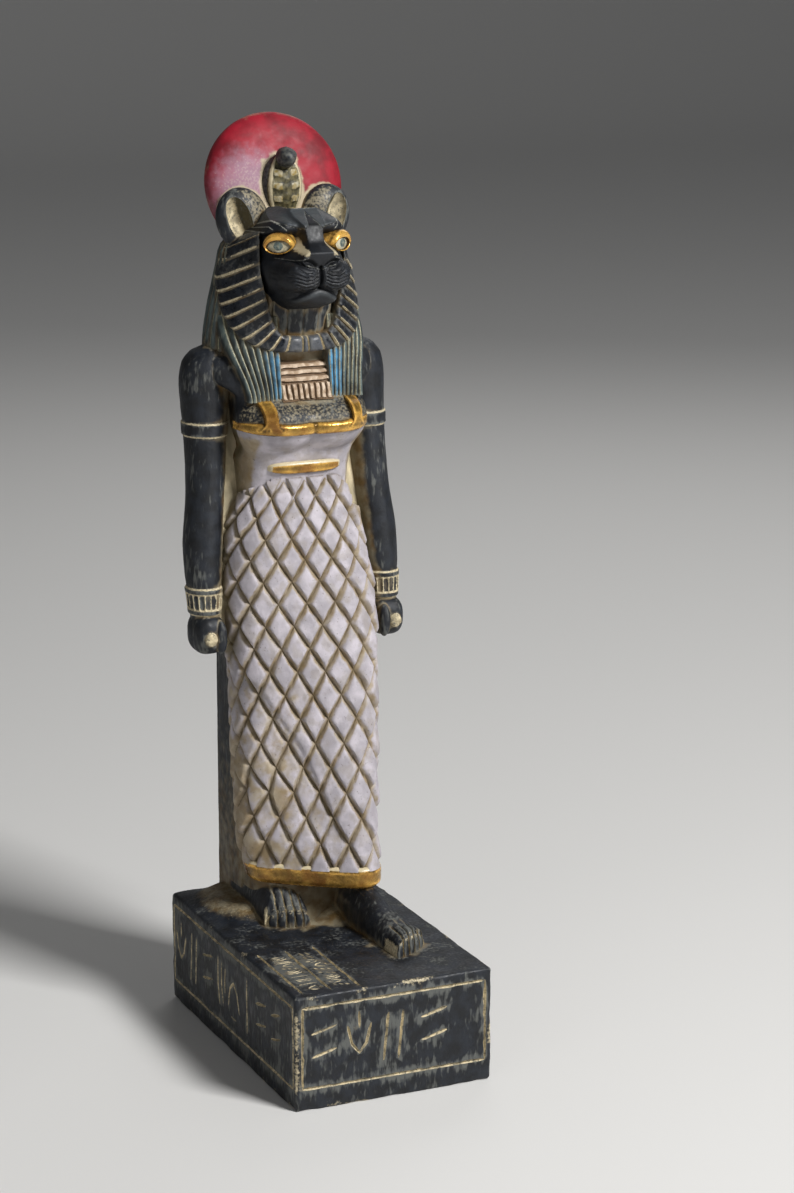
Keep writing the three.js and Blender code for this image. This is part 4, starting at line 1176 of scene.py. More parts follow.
def collar():
    """The collar: a plate with bars across its upper part over a row of upright beads."""

    def points(u, v, front):
        x, z = COLLAR.half * u, mix(*COLLAR.z, (v + 1) / 2)
        wave = 0.25 * lumps(np.stack([x, 0 * x, z], -1), 3, 7)
        bars = sum(inside(z + wave, low, high) for low, high in COLLAR_BARS)
        bead = np.abs(np.sin(math.pi * (COLLAR.strokes * (u + 1) / 2 + wave * 0.35)))
        beads = smooth((bead - 0.35) / 0.35) * inside(z, 191.4, 196.4)
        raised = np.maximum(bars, beads) * smooth((1 - np.abs(u)) / 0.06)
        y = torso_front(x, z) + np.where(front, -COLLAR.proud - 1.1 * raised, 3)
        return grid(x, y, z, 0.0, 0.0, 1 - raised)

    return slab(96, 56, points)


THROAT = SimpleNamespace(z=(200, 230), y=27, a=(13, 14.5), b=(4.5, 13))
THROAT_PANELS = 14


def throat():
    """The throat: ellipses from the chest up under the chin, cut into upright panels."""
    angle = turns(THROAT_PANELS * 8)
    z = np.linspace(*THROAT.z, 20)[:, None]
    t = (z - THROAT.z[0]) / (THROAT.z[1] - THROAT.z[0])
    groove = bell(np.sin(THROAT_PANELS * angle / 2), 0.16)
    panels = smooth((z - 211) / 2)
    out = -0.6 * groove * panels
    x = (mix(*THROAT.a, t) + out) * np.sin(angle)
    y = THROAT.y - (mix(*THROAT.b, t) + out) * np.cos(angle)
    return tube(grid(x, y, z, 0.3 * groove * panels, 0.0, 0.8 * (1 - panels)))


# The sun disc and the cobra on its front

DISC = SimpleNamespace(y=45.2, z=263.2, r=25.6, front=8.4, back=6.5, lean=0.26, fullness=0.8)
HOOD = SimpleNamespace(middle=(0, 37.2, 263.4), radii=(7.4, 5.6, 11.4))
COBRA_HEAD = SimpleNamespace(middle=(0, 33, 273.8), radii=(3.4, 4.8, 3.7))


def sun_disc():
    """The disc: a fat lens, the radius by cos a and the depth by sin a, both to the power of its fullness."""
    a = np.linspace(-math.pi / 2, math.pi / 2, 43)[1:-1, None]
    radius = DISC.r * power(np.cos(a), DISC.fullness)
    out = power(np.sin(a), DISC.fullness) * np.where(a > 0, DISC.front, DISC.back)
    around = turns(90)
    x, up = radius * np.sin(around), radius * np.cos(around)
    rim = bell(np.abs(a) / 0.42, 1)
    worn = 0.5 + 0.5 * lumps(np.stack([x, up, 0 * x], -1), 7, 11)
    rings = grid(x, -out, up, rim * worn)
    poles = np.array([rings[0].mean(0), rings[-1].mean(0)])
    poles[:, 1] = DISC.back, -DISC.front
    points, faces = tube(rings, poles)
    return turned_by(points, (-DISC.lean, 0, 0), (0, DISC.y, DISC.z)), faces


def cobra():
    """The cobra: its hood with two columns of cells beside a laddered middle, and its head above."""

    def hood_relief(x, y, z):
        half = np.sqrt(np.clip(1 - z * z, 0.02, 1))
        across = np.abs(x) / half
        front = smooth(-y / 0.3)
        rim = bell(across - 0.76, 0.08) * front
        rows = 0.5 + 0.5 * np.cos(2 * math.pi * (z * 2.5 - 0.25 * across))
        cell = inside(across, 0.24, 0.66, 0.08) * smooth((rows - 0.2) / 0.4) * front
        cell = cell * smooth((0.82 - np.abs(z)) / 0.12)
        ladder = inside(across, -1, 0.13, 0.08) * smooth(np.cos(2 * math.pi * z * 4) * 2) * front
        swell = 0.05 * rim + 0.075 * cell + 0.045 * ladder - 0.06 * front * smooth((0.72 - across) / 0.1)
        dark = smooth((across - 0.85) / 0.06)
        return swell, (np.clip(rim * 1.2, 0, 1), np.clip(cell + 0.5 * ladder, 0, 1), dark)

    add_form("hood", ball(HOOD.middle, HOOD.radii, 72, 56, hood_relief), "hood")

    def head_relief(x, y, z):
        front = smooth(-y / 0.4)
        brow = bell(np.hypot((np.abs(x) - 0.62) / 0.28, (z - 0.3) / 0.3), 1) * front
        snout = bell(np.hypot(x / 0.4, (z + 0.1) / 0.5), 1) * front
        socket = bell(np.hypot((np.abs(x) - 0.55) / 0.16, (z + 0.12) / 0.16), 1) * front
        swell = 0.13 * brow + 0.1 * snout - 0.14 * socket - 0.06 * smooth((np.abs(z) - 0.75) / 0.25)
        return swell, (0.3 * smooth(lumps(np.stack([x, y, z], -1), 0.25, 6) * 2 - 0.6), 0.0, 0.8)

    add_form("cobra_head", ball(COBRA_HEAD.middle, COBRA_HEAD.radii, 40, 28, head_relief), "hood")


# The pillar and the plinth

# Ellipses that the ground swells round: middle x and y, half width and half depth
STANCE = ((-13, 35, 14, 14), (12, 24, 9, 16), (0, 46, 22, 10))
GROUND_FRONT = -14
GROUND_RUN = 1.3  # how steeply the ground falls away
PILLAR_EDGE = 0.9


def edge_lines(half, edge, step):
    """Grid lines from -half to half, close together over the rounded edges."""
    inner = half - edge
    count = max(2, round(2 * inner / step))
    fine = edge * np.array([0, 0.35, 0.7, 1])
    return np.concatenate([-inner - fine[:0:-1], np.linspace(-inner, inner, count + 1), inner + fine[1:]])


def rounded(x, y, z, halves, edge):
    """Points of a box moved onto its rounded edges: the nearest inner point, plus the edge on the way out."""
    point = np.stack([x, y, z], -1)
    inner = np.clip(point, edge - np.array(halves), np.array(halves) - edge)
    way = point - inner
    reach = np.maximum(np.linalg.norm(way, axis=-1, keepdims=True), 1e-9)
    return inner + way / reach * edge


def plinth():
    """The plinth: a block with rounded, chipped edges, whose top swells round the feet and the pillar."""
    s = sizes()
    halves = (s.plinth_width / 2, s.plinth_depth / 2, s.plinth_height / 2)
    lines = [edge_lines(half, s.plinth_edge, step) for half, step in zip(halves, (3.6, 3.6, 3.2))]

    def place(u, v, w):
        p = rounded(u, v, w, halves, s.plinth_edge)
        x, y, z = p[:, 0], p[:, 1], p[:, 2] + halves[2]
        within = np.sort(np.abs(np.stack([u, v, w], -1)) - np.array(halves), axis=-1)
        near_edge = bell(within[:, 1], 2.2)
        chip = near_edge * np.clip(lumps(p, 7, 2) * 0.7 + lumps(p, 3, 4) * 0.5, -0.2, 1) * 0.55
        middle = np.stack([x, y, z - halves[2]], -1) * (1 - chip[:, None] / 45)
        x, y, z = middle[:, 0], middle[:, 1], middle[:, 2] + halves[2]
        top = smooth((w - halves[2] + s.plinth_edge) / s.plinth_edge)
        close = np.min([np.hypot((x - cx) / a, (y - cy) / b) - 1 for cx, cy, a, b in STANCE], 0)
        clear = smooth((halves[0] - np.abs(x)) / 4) * smooth((halves[1] - y) / 3)
        clear = clear * smooth((y - GROUND_FRONT + 2) / 4)
        swell = s.ground_rise * smooth(1 - close * GROUND_RUN) * clear
        ground = smooth(swell / 3) * top
        edge_wear = 0.62 * near_edge * smooth(lumps(p, 6, 14) * 2)
        return grid(x, y, z + top * swell, edge_wear, 0.8 * ground, np.maximum(0.9 * ground, 0.8 * edge_wear))

    return block(*lines, place)


def pillar():
    """The back pillar: a block with softened edges."""
    s = sizes()
    high = s.pillar_height + SUNK
    halves = (s.pillar_width / 2, s.pillar_depth / 2, high / 2)
    back = s.plinth_depth / 2 - s.pillar_setback

    def place(u, v, w):
        p = rounded(u, v, w, halves, PILLAR_EDGE)
        stain = 0.35 + 0.5 * smooth((90 - p[:, 2] - halves[2]) / 80)
        return grid(p[:, 0], p[:, 1] + back - halves[1], p[:, 2] + halves[2] - SUNK, 0.0, 0.0, stain)

    return block(*(edge_lines(half, PILLAR_EDGE, step) for half, step in zip(halves, (4, 5, 5))), place)


# Strokes cut into the plinth, rows of plain marks that aren't letters

# Each mark is lines of points, given as shares of its width and height
MARKS = (
    (((0.5, 0.05), (0.5, 0.95)),),
    (((0.2, 0.1), (0.35, 0.9)), ((0.65, 0.1), (0.8, 0.9))),
    (((0.1, 0.35), (0.9, 0.45)), ((0.1, 0.7), (0.9, 0.8))),
    (((0, 0.25), (0.2, 0.55), (0.5, 0.68), (0.8, 0.55), (1, 0.25)), ((0.3, 0.1), (0.7, 0.1))),
    (((0, 0.75), (0.2, 0.45), (0.5, 0.32), (0.8, 0.45), (1, 0.75)), ((0.5, 0.7), (0.5, 0.95))),
    (
        ((0.15, 0.9), (0.1, 0.5), (0.3, 0.15)),
        ((0.55, 0.85), (0.5, 0.5), (0.7, 0.2)),
        ((0.95, 0.8), (0.9, 0.4)),
    ),
    (((0.05, 0.15), (0.4, 0.3)), ((0.3, 0.45), (0.7, 0.6)), ((0.6, 0.75), (0.95, 0.9))),
)
STROKE_WIDTH = 1.25
STROKE_DEPTH = 0.8
FRAME_MARGIN, FRAME_TOP, FRAME_FOOT = 2.6, 4.2, 8.0
TOP_FIELD = ((-33, -12), (-57, -16))  # x and y of the field of marks on the plinth's top


def groove(points, place, width=STROKE_WIDTH):
    """A cutter along a line on a face: a wedge whose foot lies under the face, thinner towards its ends."""
    points = np.array(points, float)
    length = np.concatenate([[0], np.cumsum(np.linalg.norm(np.diff(points, axis=0), axis=1))])
    count = max(3, round(length[-1] / 1.5))
    at = np.unique(np.concatenate([np.linspace(0, length[-1], count), length]).round(4))
    line = np.stack([np.interp(at, length, points[:, k]) for k in range(2)], 1)
    way = np.gradient(line, axis=0)
    way /= np.linalg.norm(way, axis=1, keepdims=True)
    across = np.stack([-way[:, 1], way[:, 0]], 1)
    unsteady = lumps(np.concatenate([line, 0 * line[:, :1]], 1), 2.3, 9)[:, None]
    end = smooth(np.minimum(at, at[-1] - at) / 0.8)[:, None]
    half = width / 2 * (0.55 + 0.45 * end) * (1 + 0.25 * unsteady)
    deep = (STROKE_DEPTH * (0.4 + 0.6 * end) * (1 + 0.2 * unsteady))[:, 0]
    line = line + across * 0.12 * unsteady
    above = 0.5
    spread = 1 + above / STROKE_DEPTH * 0.5
    left, right = line + across * half * spread, line - across * half * spread
    rows = ((left, above), (line, -deep), (right, above))
    return tube(np.stack([place(*row.T, out) for row, out in rows], 1))


def mark_lines(left, right, foot, top, seed):
    """A row of marks in a field: each takes its own width and a kind of mark, chosen by a seeded draw."""
    draw = np.random.default_rng(seed)
    lines = []
    high = top - foot
    at = left
    while at < right - high * 0.5:
        wide = high * draw.uniform(0.38, 0.56)
        kind = MARKS[draw.integers(len(MARKS))]
        size = (wide * 0.84, high * draw.uniform(0.8, 0.96))
        low = foot + (high - size[1]) / 2
        lines += [[(at + a * size[0], low + b * size[1]) for a, b in part] for part in kind]
        at += wide * 1.05
    return lines


def stroke_cutters():
    """Cutters for the frame lines and marks on three sides, and the lines and marks on the plinth's top."""
    s = sizes()
    low, high = FRAME_FOOT, s.plinth_height - FRAME_TOP

    def on_front(a, b, out):
        return grid(a, -s.plinth_depth / 2 - out, b)

    def on_right(a, b, out):
        return grid(-s.plinth_width / 2 - out, -a, b)

    def on_left(a, b, out):
        return grid(s.plinth_width / 2 + out, a, b)

    def on_top(a, b, out):
        return grid(a, b, s.plinth_height + out)

    cutters = []
    sides = ((s.plinth_width, on_front, 21), (s.plinth_depth, on_right, 22), (s.plinth_depth, on_left, 23))
    for width, place, seed in sides:
        half = width / 2 - FRAME_MARGIN
        corners = [(-half, low), (half, low), (half, high), (-half, high)]
        lines = [*zip(corners, corners[1:] + corners[:1])]
        lines += mark_lines(2.2 - half, half - 1, low + 1.4, high - 1.4, seed)
        cutters += [groove(line, place) for line in lines]
    (left, right), (front, back) = TOP_FIELD
    middle = (left + right) / 2
    cutters += [groove([(x, front), (x, back)], on_top) for x in (left, middle, right)]
    for low_x, high_x, seed in ((left + 1.5, middle - 1, 31), (middle + 1.5, right - 1, 32)):
        for line in mark_lines(front + 2, back - 2, 0, high_x - low_x, seed):
            turned = [(high_x - b, a) for a, b in line]
            cutters.append(groove(turned, on_top, STROKE_WIDTH * 0.75))
    for number, solid in enumerate(cutters):
        add_form(f"stroke_{number:03d}", solid, "cream", lift=0, group="strokes")


# Joining the forms into one casting

CLOSE = 0.02  # millimetres
SHARP_TURN = math.radians(42)  # least turn across an edge that shades sharp


def combined(base, others, operation):
    """Joins the others to the base or cuts them out of it, worked out exactly, and removes them."""
    group = bpy.data.collections.new("operands")
    for other in others:
        group.objects.link(other)
    step = base.modifiers.new("join", "BOOLEAN")
    step.operation = operation
    step.solver = "MANIFOLD"
    step.operand_type = "COLLECTION"
    step.collection = group
    step.material_mode = "TRANSFER"
    depsgraph = bpy.context.evaluated_depsgraph_get()
    mesh = bpy.data.meshes.new_from_object(
        base.evaluated_get(depsgraph), preserve_all_data_layers=True, depsgraph=depsgraph
    )
    if len(mesh.polygons) <= len(base.data.polygons) // 4:
        raise RuntimeError(f"{base.name}: the forms could not be joined")
    base.modifiers.clear()
    base.data = mesh
    for other in others:
        bpy.data.objects.remove(other)
    bpy.data.collections.remove(group)


def read(items, name, width=1, kind=np.int32):
    """A property of each of a mesh's items, in one array."""
    values = np.empty(len(items) * width, kind)
    items.foreach_get(name, values)
    return values


def triangles_of(mesh):
    """Points, triangles, their paints and the paint shares of their corners."""
    mesh.calc_loop_triangles()
    points = read(mesh.vertices, "co", 3, np.float32).reshape(-1, 3).astype(float) / MM
    faces = read(mesh.loop_triangles, "vertices", 3).reshape(-1, 3)
    paint = read(mesh.polygons, "material_index")[read(mesh.loop_triangles, "polygon_index")]
    corner = read(mesh.loop_triangles, "loops", 3).reshape(-1, 3)
    values = {k: read(mesh.attributes[k].data, "value", 1, np.float32)[corner] for k in ATTRIBUTES}
    return points, faces, paint, values


def cleaned(mesh):
    """Cuts faces into triangles, merges points closer than CLOSE and takes out faces without area."""
    work = bmesh.new()
    work.from_mesh(mesh)
    bmesh.ops.triangulate(work, faces=[face for face in work.faces if len(face.verts) > 3])
    bmesh.ops.dissolve_degenerate(work, edges=work.edges[:], dist=CLOSE * MM)
    bmesh.ops.triangulate(work, faces=[face for face in work.faces if len(face.verts) > 3])
    work.to_mesh(mesh)
    work.free()


# Wear and painted shade: how each point lies in the finished surface


def point_normals(points, faces):
    """Unit normals of triangles and of points, each point's being the sum of its triangles' by area."""
    a, b, c = (points[faces[:, k]] for k in range(3))
    cross = np.cross(b - a, c - a)
    total = np.stack(
        [sum(np.bincount(faces[:, k], cross[:, axis], len(points)) for k in range(3)) for axis in range(3)], 1
    )
    flat = cross / np.maximum(np.linalg.norm(cross, axis=1, keepdims=True), 1e-12)
    return flat, total / np.maximum(np.linalg.norm(total, axis=1, keepdims=True), 1e-12)


def edges_of(faces, count):
    """Edges as two point numbers each, and the two triangles that share each one."""
    ends = np.sort(np.concatenate([faces[:, [0, 1]], faces[:, [1, 2]], faces[:, [2, 0]]]), 1).astype(np.int64)
    owner = np.tile(np.arange(len(faces)), 3)
    key = ends[:, 0] * count + ends[:, 1]
    order = np.argsort(key, kind="stable")
    same = np.nonzero(key[order][:-1] == key[order][1:])[0]
    return ends[order][same], owner[order][same], owner[order][same + 1]


def joined(values, ends, count):
    """Sum, for each point, of the values of the points it is joined to."""
    a, b = ends.T
    return np.bincount(a, values[b], count) + np.bincount(b, values[a], count)


def spread(values, ends, count):
    """Mean of each point's value with those of the points it is joined to."""
    return (values + joined(values, ends, count)) / (1 + np.bincount(ends.ravel(), minlength=count))


def distance_from(seed, ends, lengths, furthest, count):
    """Least distance along the edges from seed points, in rounds that each reach one edge further."""
    away = np.where(seed, 0.0, furthest)
    for _ in range(ROUNDS):
        nearer = np.full(count, furthest)
        np.minimum.at(nearer, ends[:, 0], away[ends[:, 1]] + lengths)
        np.minimum.at(nearer, ends[:, 1], away[ends[:, 0]] + lengths)
        away = np.minimum(away, nearer)
    return away


ROUNDS = 14
HOLLOW_TURN, RIDGE_TURN = math.radians(24), math.radians(32)  # least turn across a worn edge
CREVICE_REACH, RIDGE_REACH, FURTHEST = 1.1, 0.8, 6.0  # millimetres along the surface


def wear(points, faces):
    """Shares of each point that drive the wear and some painted shade: near a hollow edge, on a ridge, in a
    hollow, sheltered.
    """
    count = len(points)
    flat, normals = point_normals(points, faces)
    ends, first, second = edges_of(faces, count)
    lengths = np.linalg.norm(points[ends[:, 0]] - points[ends[:, 1]], axis=1)
    middle = points[faces].mean(1)
    turn = np.arccos(np.clip((flat[first] * flat[second]).sum(1), -1, 1))
    hollow = ((middle[second] - middle[first]) * flat[first]).sum(1) > 0

    def near(chosen, reach):
        seed = np.zeros(count, bool)
        seed[ends[chosen].ravel()] = True
        return bell(distance_from(seed, ends, lengths, FURTHEST, count), reach)

    crevice = near(hollow & (turn > HOLLOW_TURN), CREVICE_REACH)
    ridge = near(~hollow & (turn > RIDGE_TURN), RIDGE_REACH)
    degree = np.maximum(np.bincount(ends.ravel(), minlength=count), 1)
    pull = [joined(points[:, k], ends, count) / degree for k in range(3)]
    square = sum(np.bincount(ends[:, k], lengths**2, count) for k in (0, 1)) / degree
    bend = ((np.stack(pull, 1) - points) * normals).sum(1) / np.maximum(square, 0.02)
    bend = spread(np.clip(bend, -0.8, 0.8), ends, count)
    dip = smooth(bend / 0.35)
    ridge = np.maximum(ridge, smooth(-bend / 0.35))
    shelter = sheltered(points, normals, faces, ends)
    return {"crevice": crevice, "ridge": ridge, "dip": dip, "shelter": shelter}


def sheltered(points, normals, faces, ends):
    """How much of the light from above and around each point the casting itself keeps off.

    From each of many directions, the nearest surface is kept in square cells. A point is shaded where that
    surface lies well in front of it, and directions count by the cosine of their angle to its normal.
    """
    a, b, c = (points[faces[:, k]] for k in range(3))
    area = np.linalg.norm(np.cross(b - a, c - a), axis=1) / 2
    extra = np.repeat(np.arange(len(faces)), np.minimum(area / SAMPLE_AREA, MOST_SAMPLES).astype(int))
    draw = np.random.default_rng(5).uniform(0, 1, (len(extra), 2))
    draw = np.where(draw.sum(1, keepdims=True) > 1, 1 - draw, draw)
    samples = a[extra] + draw[:, :1] * (b - a)[extra] + draw[:, 1:] * (c - a)[extra]
    samples = np.concatenate([points, samples])
    turn = np.arange(DIRECTIONS) * math.pi * (3 - math.sqrt(5))
    high = np.linspace(-0.15, 0.98, DIRECTIONS)
    shade, weight = np.zeros(len(points)), np.full(len(points), 1e-6)
    start = points + normals * CELL
    for angle, up in zip(turn, high):
        flat = math.sqrt(1 - up * up)
        way = np.array([flat * math.cos(angle), flat * math.sin(angle), up])
        side = np.array([-math.sin(angle), math.cos(angle), 0])
        rise = np.cross(way, side)

        def cell(place):
            column, row = (np.floor(place @ axis / CELL).astype(int) + CELLS // 2 for axis in (side, rise))
            return column * CELLS + row

        nearest = np.full(CELLS * CELLS, -1e9)
        np.maximum.at(nearest, cell(samples), samples @ way)
        facing = np.clip(normals @ way, 0, 1)
        shade += facing * smooth((nearest[cell(start)] - start @ way - CELL) / 1.5)
        weight += facing
    return spread(shade / weight, ends, len(points))


CELL = 1.0  # millimetres across a cell
CELLS = 1024  # across the whole square of cells
DIRECTIONS = 56
SAMPLE_AREA, MOST_SAMPLES = 0.6, 60  # square millimetres for each added sample, most on a triangle


def casting():
    """Joins all forms, cuts the strokes, makes the surface uneven, and stores how each point is worn and how
    sheltered it is, which also drives painted shade.
    """
    s = sizes()
    forms = list(collection("forms").objects)
    base = next(form for form in forms if form.name == "plinth")
    combined(base, [form for form in forms if form is not base], "UNION")
    combined(base, list(collection("strokes").objects), "DIFFERENCE")
    cleaned(base.data)
    points, faces, paint, corners = triangles_of(base.data)
    normals = point_normals(points, faces)[1]
    standing = smooth(points[:, 2] / 2)
    uneven = 0.55 * lumps(points, 6, 1) + 0.3 * lumps(points, 2.4, 2) + 0.15 * lumps(points, 1.1, 3)
    fine = np.isin(paint, [PAINTS.index(name) for name in ("face", "eye", "disc", "gold")])
    calm = np.ones(len(points))
    calm[faces[fine].ravel()] = 0.35
    points = points + normals * (uneven * s.lumps * standing * calm)[:, None]
    bpy.data.objects.remove(base)
    made = mesh_object("casting", points, faces, paint, corners, wear(points, faces))
    made.data.shade_smooth()
    made.data.set_sharp_from_angle(angle=SHARP_TURN)
    for name in ("forms", "strokes", "hollows"):
        bpy.data.collections.remove(collection(name))
    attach(made, "root")
    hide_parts("statue")


# Paint


class Paint:
    """A material being made, with its colour so far. Most methods add nodes and give their last socket."""

    def __init__(self, name):
        material = bpy.data.materials.get(name) or bpy.data.materials.new(name)
        material.use_nodes = True
        self.hues = bpy.context.scene.statue_colours
        self.tree = material.node_tree
        self.tree.nodes.clear()
        self.surface = self.node("BsdfPrincipled")
        self.node("OutputMaterial", {"Surface": self.surface.outputs[0]})
        self.place = self.node("TexCoord").outputs["Object"]

    def node(self, kind, inputs=None, **settings):
        """A new node with its settings, its inputs given by name or number."""
        made = self.tree.nodes.new("ShaderNode" + kind)
        for name, value in settings.items():
            setattr(made, name, value)
        self.join(made, inputs or {})
        return made

    def join(self, node, inputs):
        """Sets a node's inputs to numbers, vectors or colours, or joins other sockets to them."""
        for name, value in inputs.items():
            socket = node.inputs[name]
            if isinstance(value, bpy.types.NodeSocket):
                self.tree.links.new(value, socket)
            elif socket.type == "RGBA":
                socket.default_value = (*value, 1)
            else:
                socket.default_value = value

    def value(self, value):
        """A value, or the casting's attribute of that name."""
        if isinstance(value, str):
            return self.node("Attribute", attribute_name=value).outputs["Fac"]
        return value

    def noise(self, size, detail, stretch=(1, 1, 1), shift=0.0):
        """Noise with features about that many millimetres across, narrower along an axis by its stretch."""
        moved = (shift, shift * 0.7, shift * 1.3)
        mapping = self.node("Mapping", {"Vector": self.place, "Scale": stretch, "Location": moved})
        inputs = {"Vector": mapping.outputs[0], "Scale": 1 / (size * MM), "Detail": detail}
        return self.node("TexNoise", inputs).outputs["Fac"]

    def calc(self, operation, a, b):
        """A sum, product or other operation on two values."""
        return self.node("Math", {0: a, 1: b}, operation=operation).outputs[0]

    def total(self, *parts):
        """The sum of values, each given with its share."""
        found = 0.0
        for value, part in parts:
            found = self.calc("ADD", found, self.calc("MULTIPLY", self.value(value), part))
        return found

    def rough(self, value, size, amount, shift=2.3):
        """A value made uneven by noise round nought."""
        wave = self.calc("SUBTRACT", self.noise(size, 6, shift=shift), 0.5)
        return self.total((value, 1), (wave, amount))

    def spread(self, size, dark, light, shift=0.0, stretch=(1, 1, 1)):
        """A colour that varies with noise from a dark to a light one."""
        return self.mixed(self.ease(self.noise(size, 6, stretch, shift), 0.33, 0.67), dark, light)

    def over(self, value, low, high, to, new):
        """Covers the colour with a new one as a value goes from low to high, up to a share."""
        self.colour = self.mixed(self.ease(value, low, high, to), self.colour, new)

    def ease(self, value, low, high, to=1.0):
        """Eases from 0 to a share as a value goes from low to high."""
        inputs = {"Value": self.value(value), "From Min": low, "From Max": high, "To Max": to}
        return self.node("MapRange", inputs, interpolation_type="SMOOTHSTEP").outputs[0]

    def mixed(self, factor, a, b):
        """A colour between two others."""
        return self.node("Mix", {0: factor, 6: a, 7: b}, data_type="RGBA").outputs[2]

    def worn(self, light, rubbed, stain, streak=(1, 1, 0.25), line_low=0.4, cream=None):
        """The wear that all dark paints share: rubbed streaks, stain in the shelter, cream in the lines."""
        hues = self.hues
        broad, fine = self.noise(11, 4, shift=0.4), self.noise(1.3, 6, streak)
        rub = self.total((broad, 0.75), ("ridge", 0.22), (fine, 0.75))
        self.over(rub, 0.8, 1.0, hues.scuffs * rubbed * 2, light)
        patches = self.noise(3.2, 5, shift=0.9)
        dirt_and_shade = self.total(("shelter", 0.75), ("crevice", 0.55), ("dip", 0.3), ("stain", 1), (patches, 0.9))
        warm = self.spread(4.5, hues.ochre, shade(hues.cream, 0.5), 1.7)
        self.over(dirt_and_shade, 0.9, 1.6, hues.stain * stain * 1.7, warm)
        cream = cream or hues.cream
        pale = self.spread(0.7, shade(cream, 0.55), cream, 3.1)
        self.over(self.rough("line", 0.9, 0.9), line_low, line_low + 0.3, 1, pale)
        return rub

    def finish(self, roughness, height, bump, specular=0.5):
        """Joins the colour, the roughness and a bump of that many millimetres to the shader."""
        normal = self.node("Bump", {"Height": height, "Distance": bump * MM}).outputs[0]
        self.join(self.surface, {"Base Color": self.colour, "Roughness": roughness, "Normal": normal})
        self.join(self.surface, {"Specular IOR Level": specular})


def shade(colour, factor):
    """A colour made darker or lighter."""
    return tuple(min(1.0, channel * factor) for channel in colour)


def stone_paint(p):
    """Satin blue-black over cast stone, rubbed grey along its streaks."""
    base = p.hues.stone
    p.colour = p.spread(5, shade(base, 0.35), shade(base, 1.3))
    p.over(p.rough("tone", 0.9, 2.4, 5), 0.55, 1.15, 0.75, shade(p.hues.cream, 0.45))
    rub = p.worn((0.16, 0.165, 0.15), rubbed=0.6, stain=0.65)
    p.finish(p.ease(rub, -0.05, 1.1, 0.75), p.noise(1.1, 6), 0.12, 0.5)


def face_paint(p):
    """Glossy blue-black of the face, with cream at the eyes' corners and a grey cap."""
    base = p.hues.stone
    p.colour = p.spread(6, shade(base, 0.2), shade(base, 0.7))
    p.over(p.rough("stain", 3, 0.3), 0.1, 0.9, 0.7, (0.075, 0.085, 0.09))
    rub = p.total((p.noise(1.0, 6, (1, 1, 0.5)), 0.8), ("ridge", 0.25))
    p.over(rub, 0.62, 0.9, 0.3, (0.09, 0.11, 0.14))
    p.over(p.rough("tone", 1.6, 1.4, 4), 0.4, 0.85, 0.9, shade(p.hues.cream, 0.62))
    p.over(p.rough("line", 0.9, 0.6), 0.35, 0.75, 0.9, (0.30, 0.30, 0.26))
    p.finish(p.ease(rub, -0.9, 1.1, 0.7), p.noise(1.4, 6), 0.1, 0.45)


def dress_paint(p):
    """Pale lavender white with brown in the net's grooves, ochre beside them, and dark olive where the
    casting keeps light off, as painted shade with some dirt.
    """
    base = p.hues.dress
    p.colour = p.spread(7, shade(base, 0.72), shade(base, 1.08))
    ochre = p.spread(6, (0.24, 0.165, 0.06), (0.40, 0.33, 0.22), 8)
    p.over(p.rough("stain", 3, 0.9, 7), 0.3, 0.8, 0.85, ochre)
    p.over(p.noise(6, 6, shift=15), 0.5, 0.62, 0.35, (0.27, 0.23, 0.18))
    # Dark olive where the casting keeps light off: painted shade with some dirt.
    shelter = p.total(("shelter", 1), (p.noise(5, 4, shift=9), 0.5))
    p.over(shelter, 0.5, 1.1, 0.8, (0.13, 0.105, 0.05))
    p.over(p.rough("line", 1.4, 0.7), 0.3, 0.85, 0.85, (0.17, 0.13, 0.075))
    p.over(p.noise(0.8, 4, shift=12), 0.64, 0.72, 0.6, (0.10, 0.085, 0.06))
    p.finish(p.ease(p.noise(3, 4), -0.6, 1.0, 0.7), p.noise(1.2, 6), 0.12, 0.3)


def gold_paint(p):
    """Gold: lighter on its ridges and near-black in patches and creases, partly wear and partly painted
    highlight and shade; red-brown where it is thin.
    """
    base = p.hues.gold
    # Darker gold between the ridges and lighter gold on them: partly worn paint, partly painted shade and
    # highlight.
    ridge = p.total(("ridge", 1), (p.noise(5, 5), 1))
    p.colour = p.mixed(p.ease(ridge, 0.35, 1.05), shade(base, 0.28), shade(base, 1.5))
    p.over(p.noise(7, 5, shift=3), 0.44, 0.62, 0.7, (0.21, 0.08, 0.014))
    # Near-black brown in patches and along the creases: partly dirt, partly painted shade.
    dirt_and_shade = p.total(("crevice", 0.6), (p.noise(2, 5, shift=5), 0.8))
    p.over(dirt_and_shade, 0.65, 1.1, 0.85, (0.04, 0.025, 0.008))
    p.over("tone", 0.3, 0.8, 1, (0.06, 0.028, 0.008))
    line = p.ease(p.rough("line", 1.2, 0.7), 0.35, 0.75)
    p.colour = p.mixed(line, p.colour, shade(p.hues.cream, 0.9))
    p.join(p.surface, {"Metallic": p.calc("MULTIPLY", p.calc("SUBTRACT", 1.0, line), 0.5)})
    p.finish(p.ease(p.noise(2, 5), -0.4, 1.8, 0.7), p.noise(1.0, 5), 0.12)


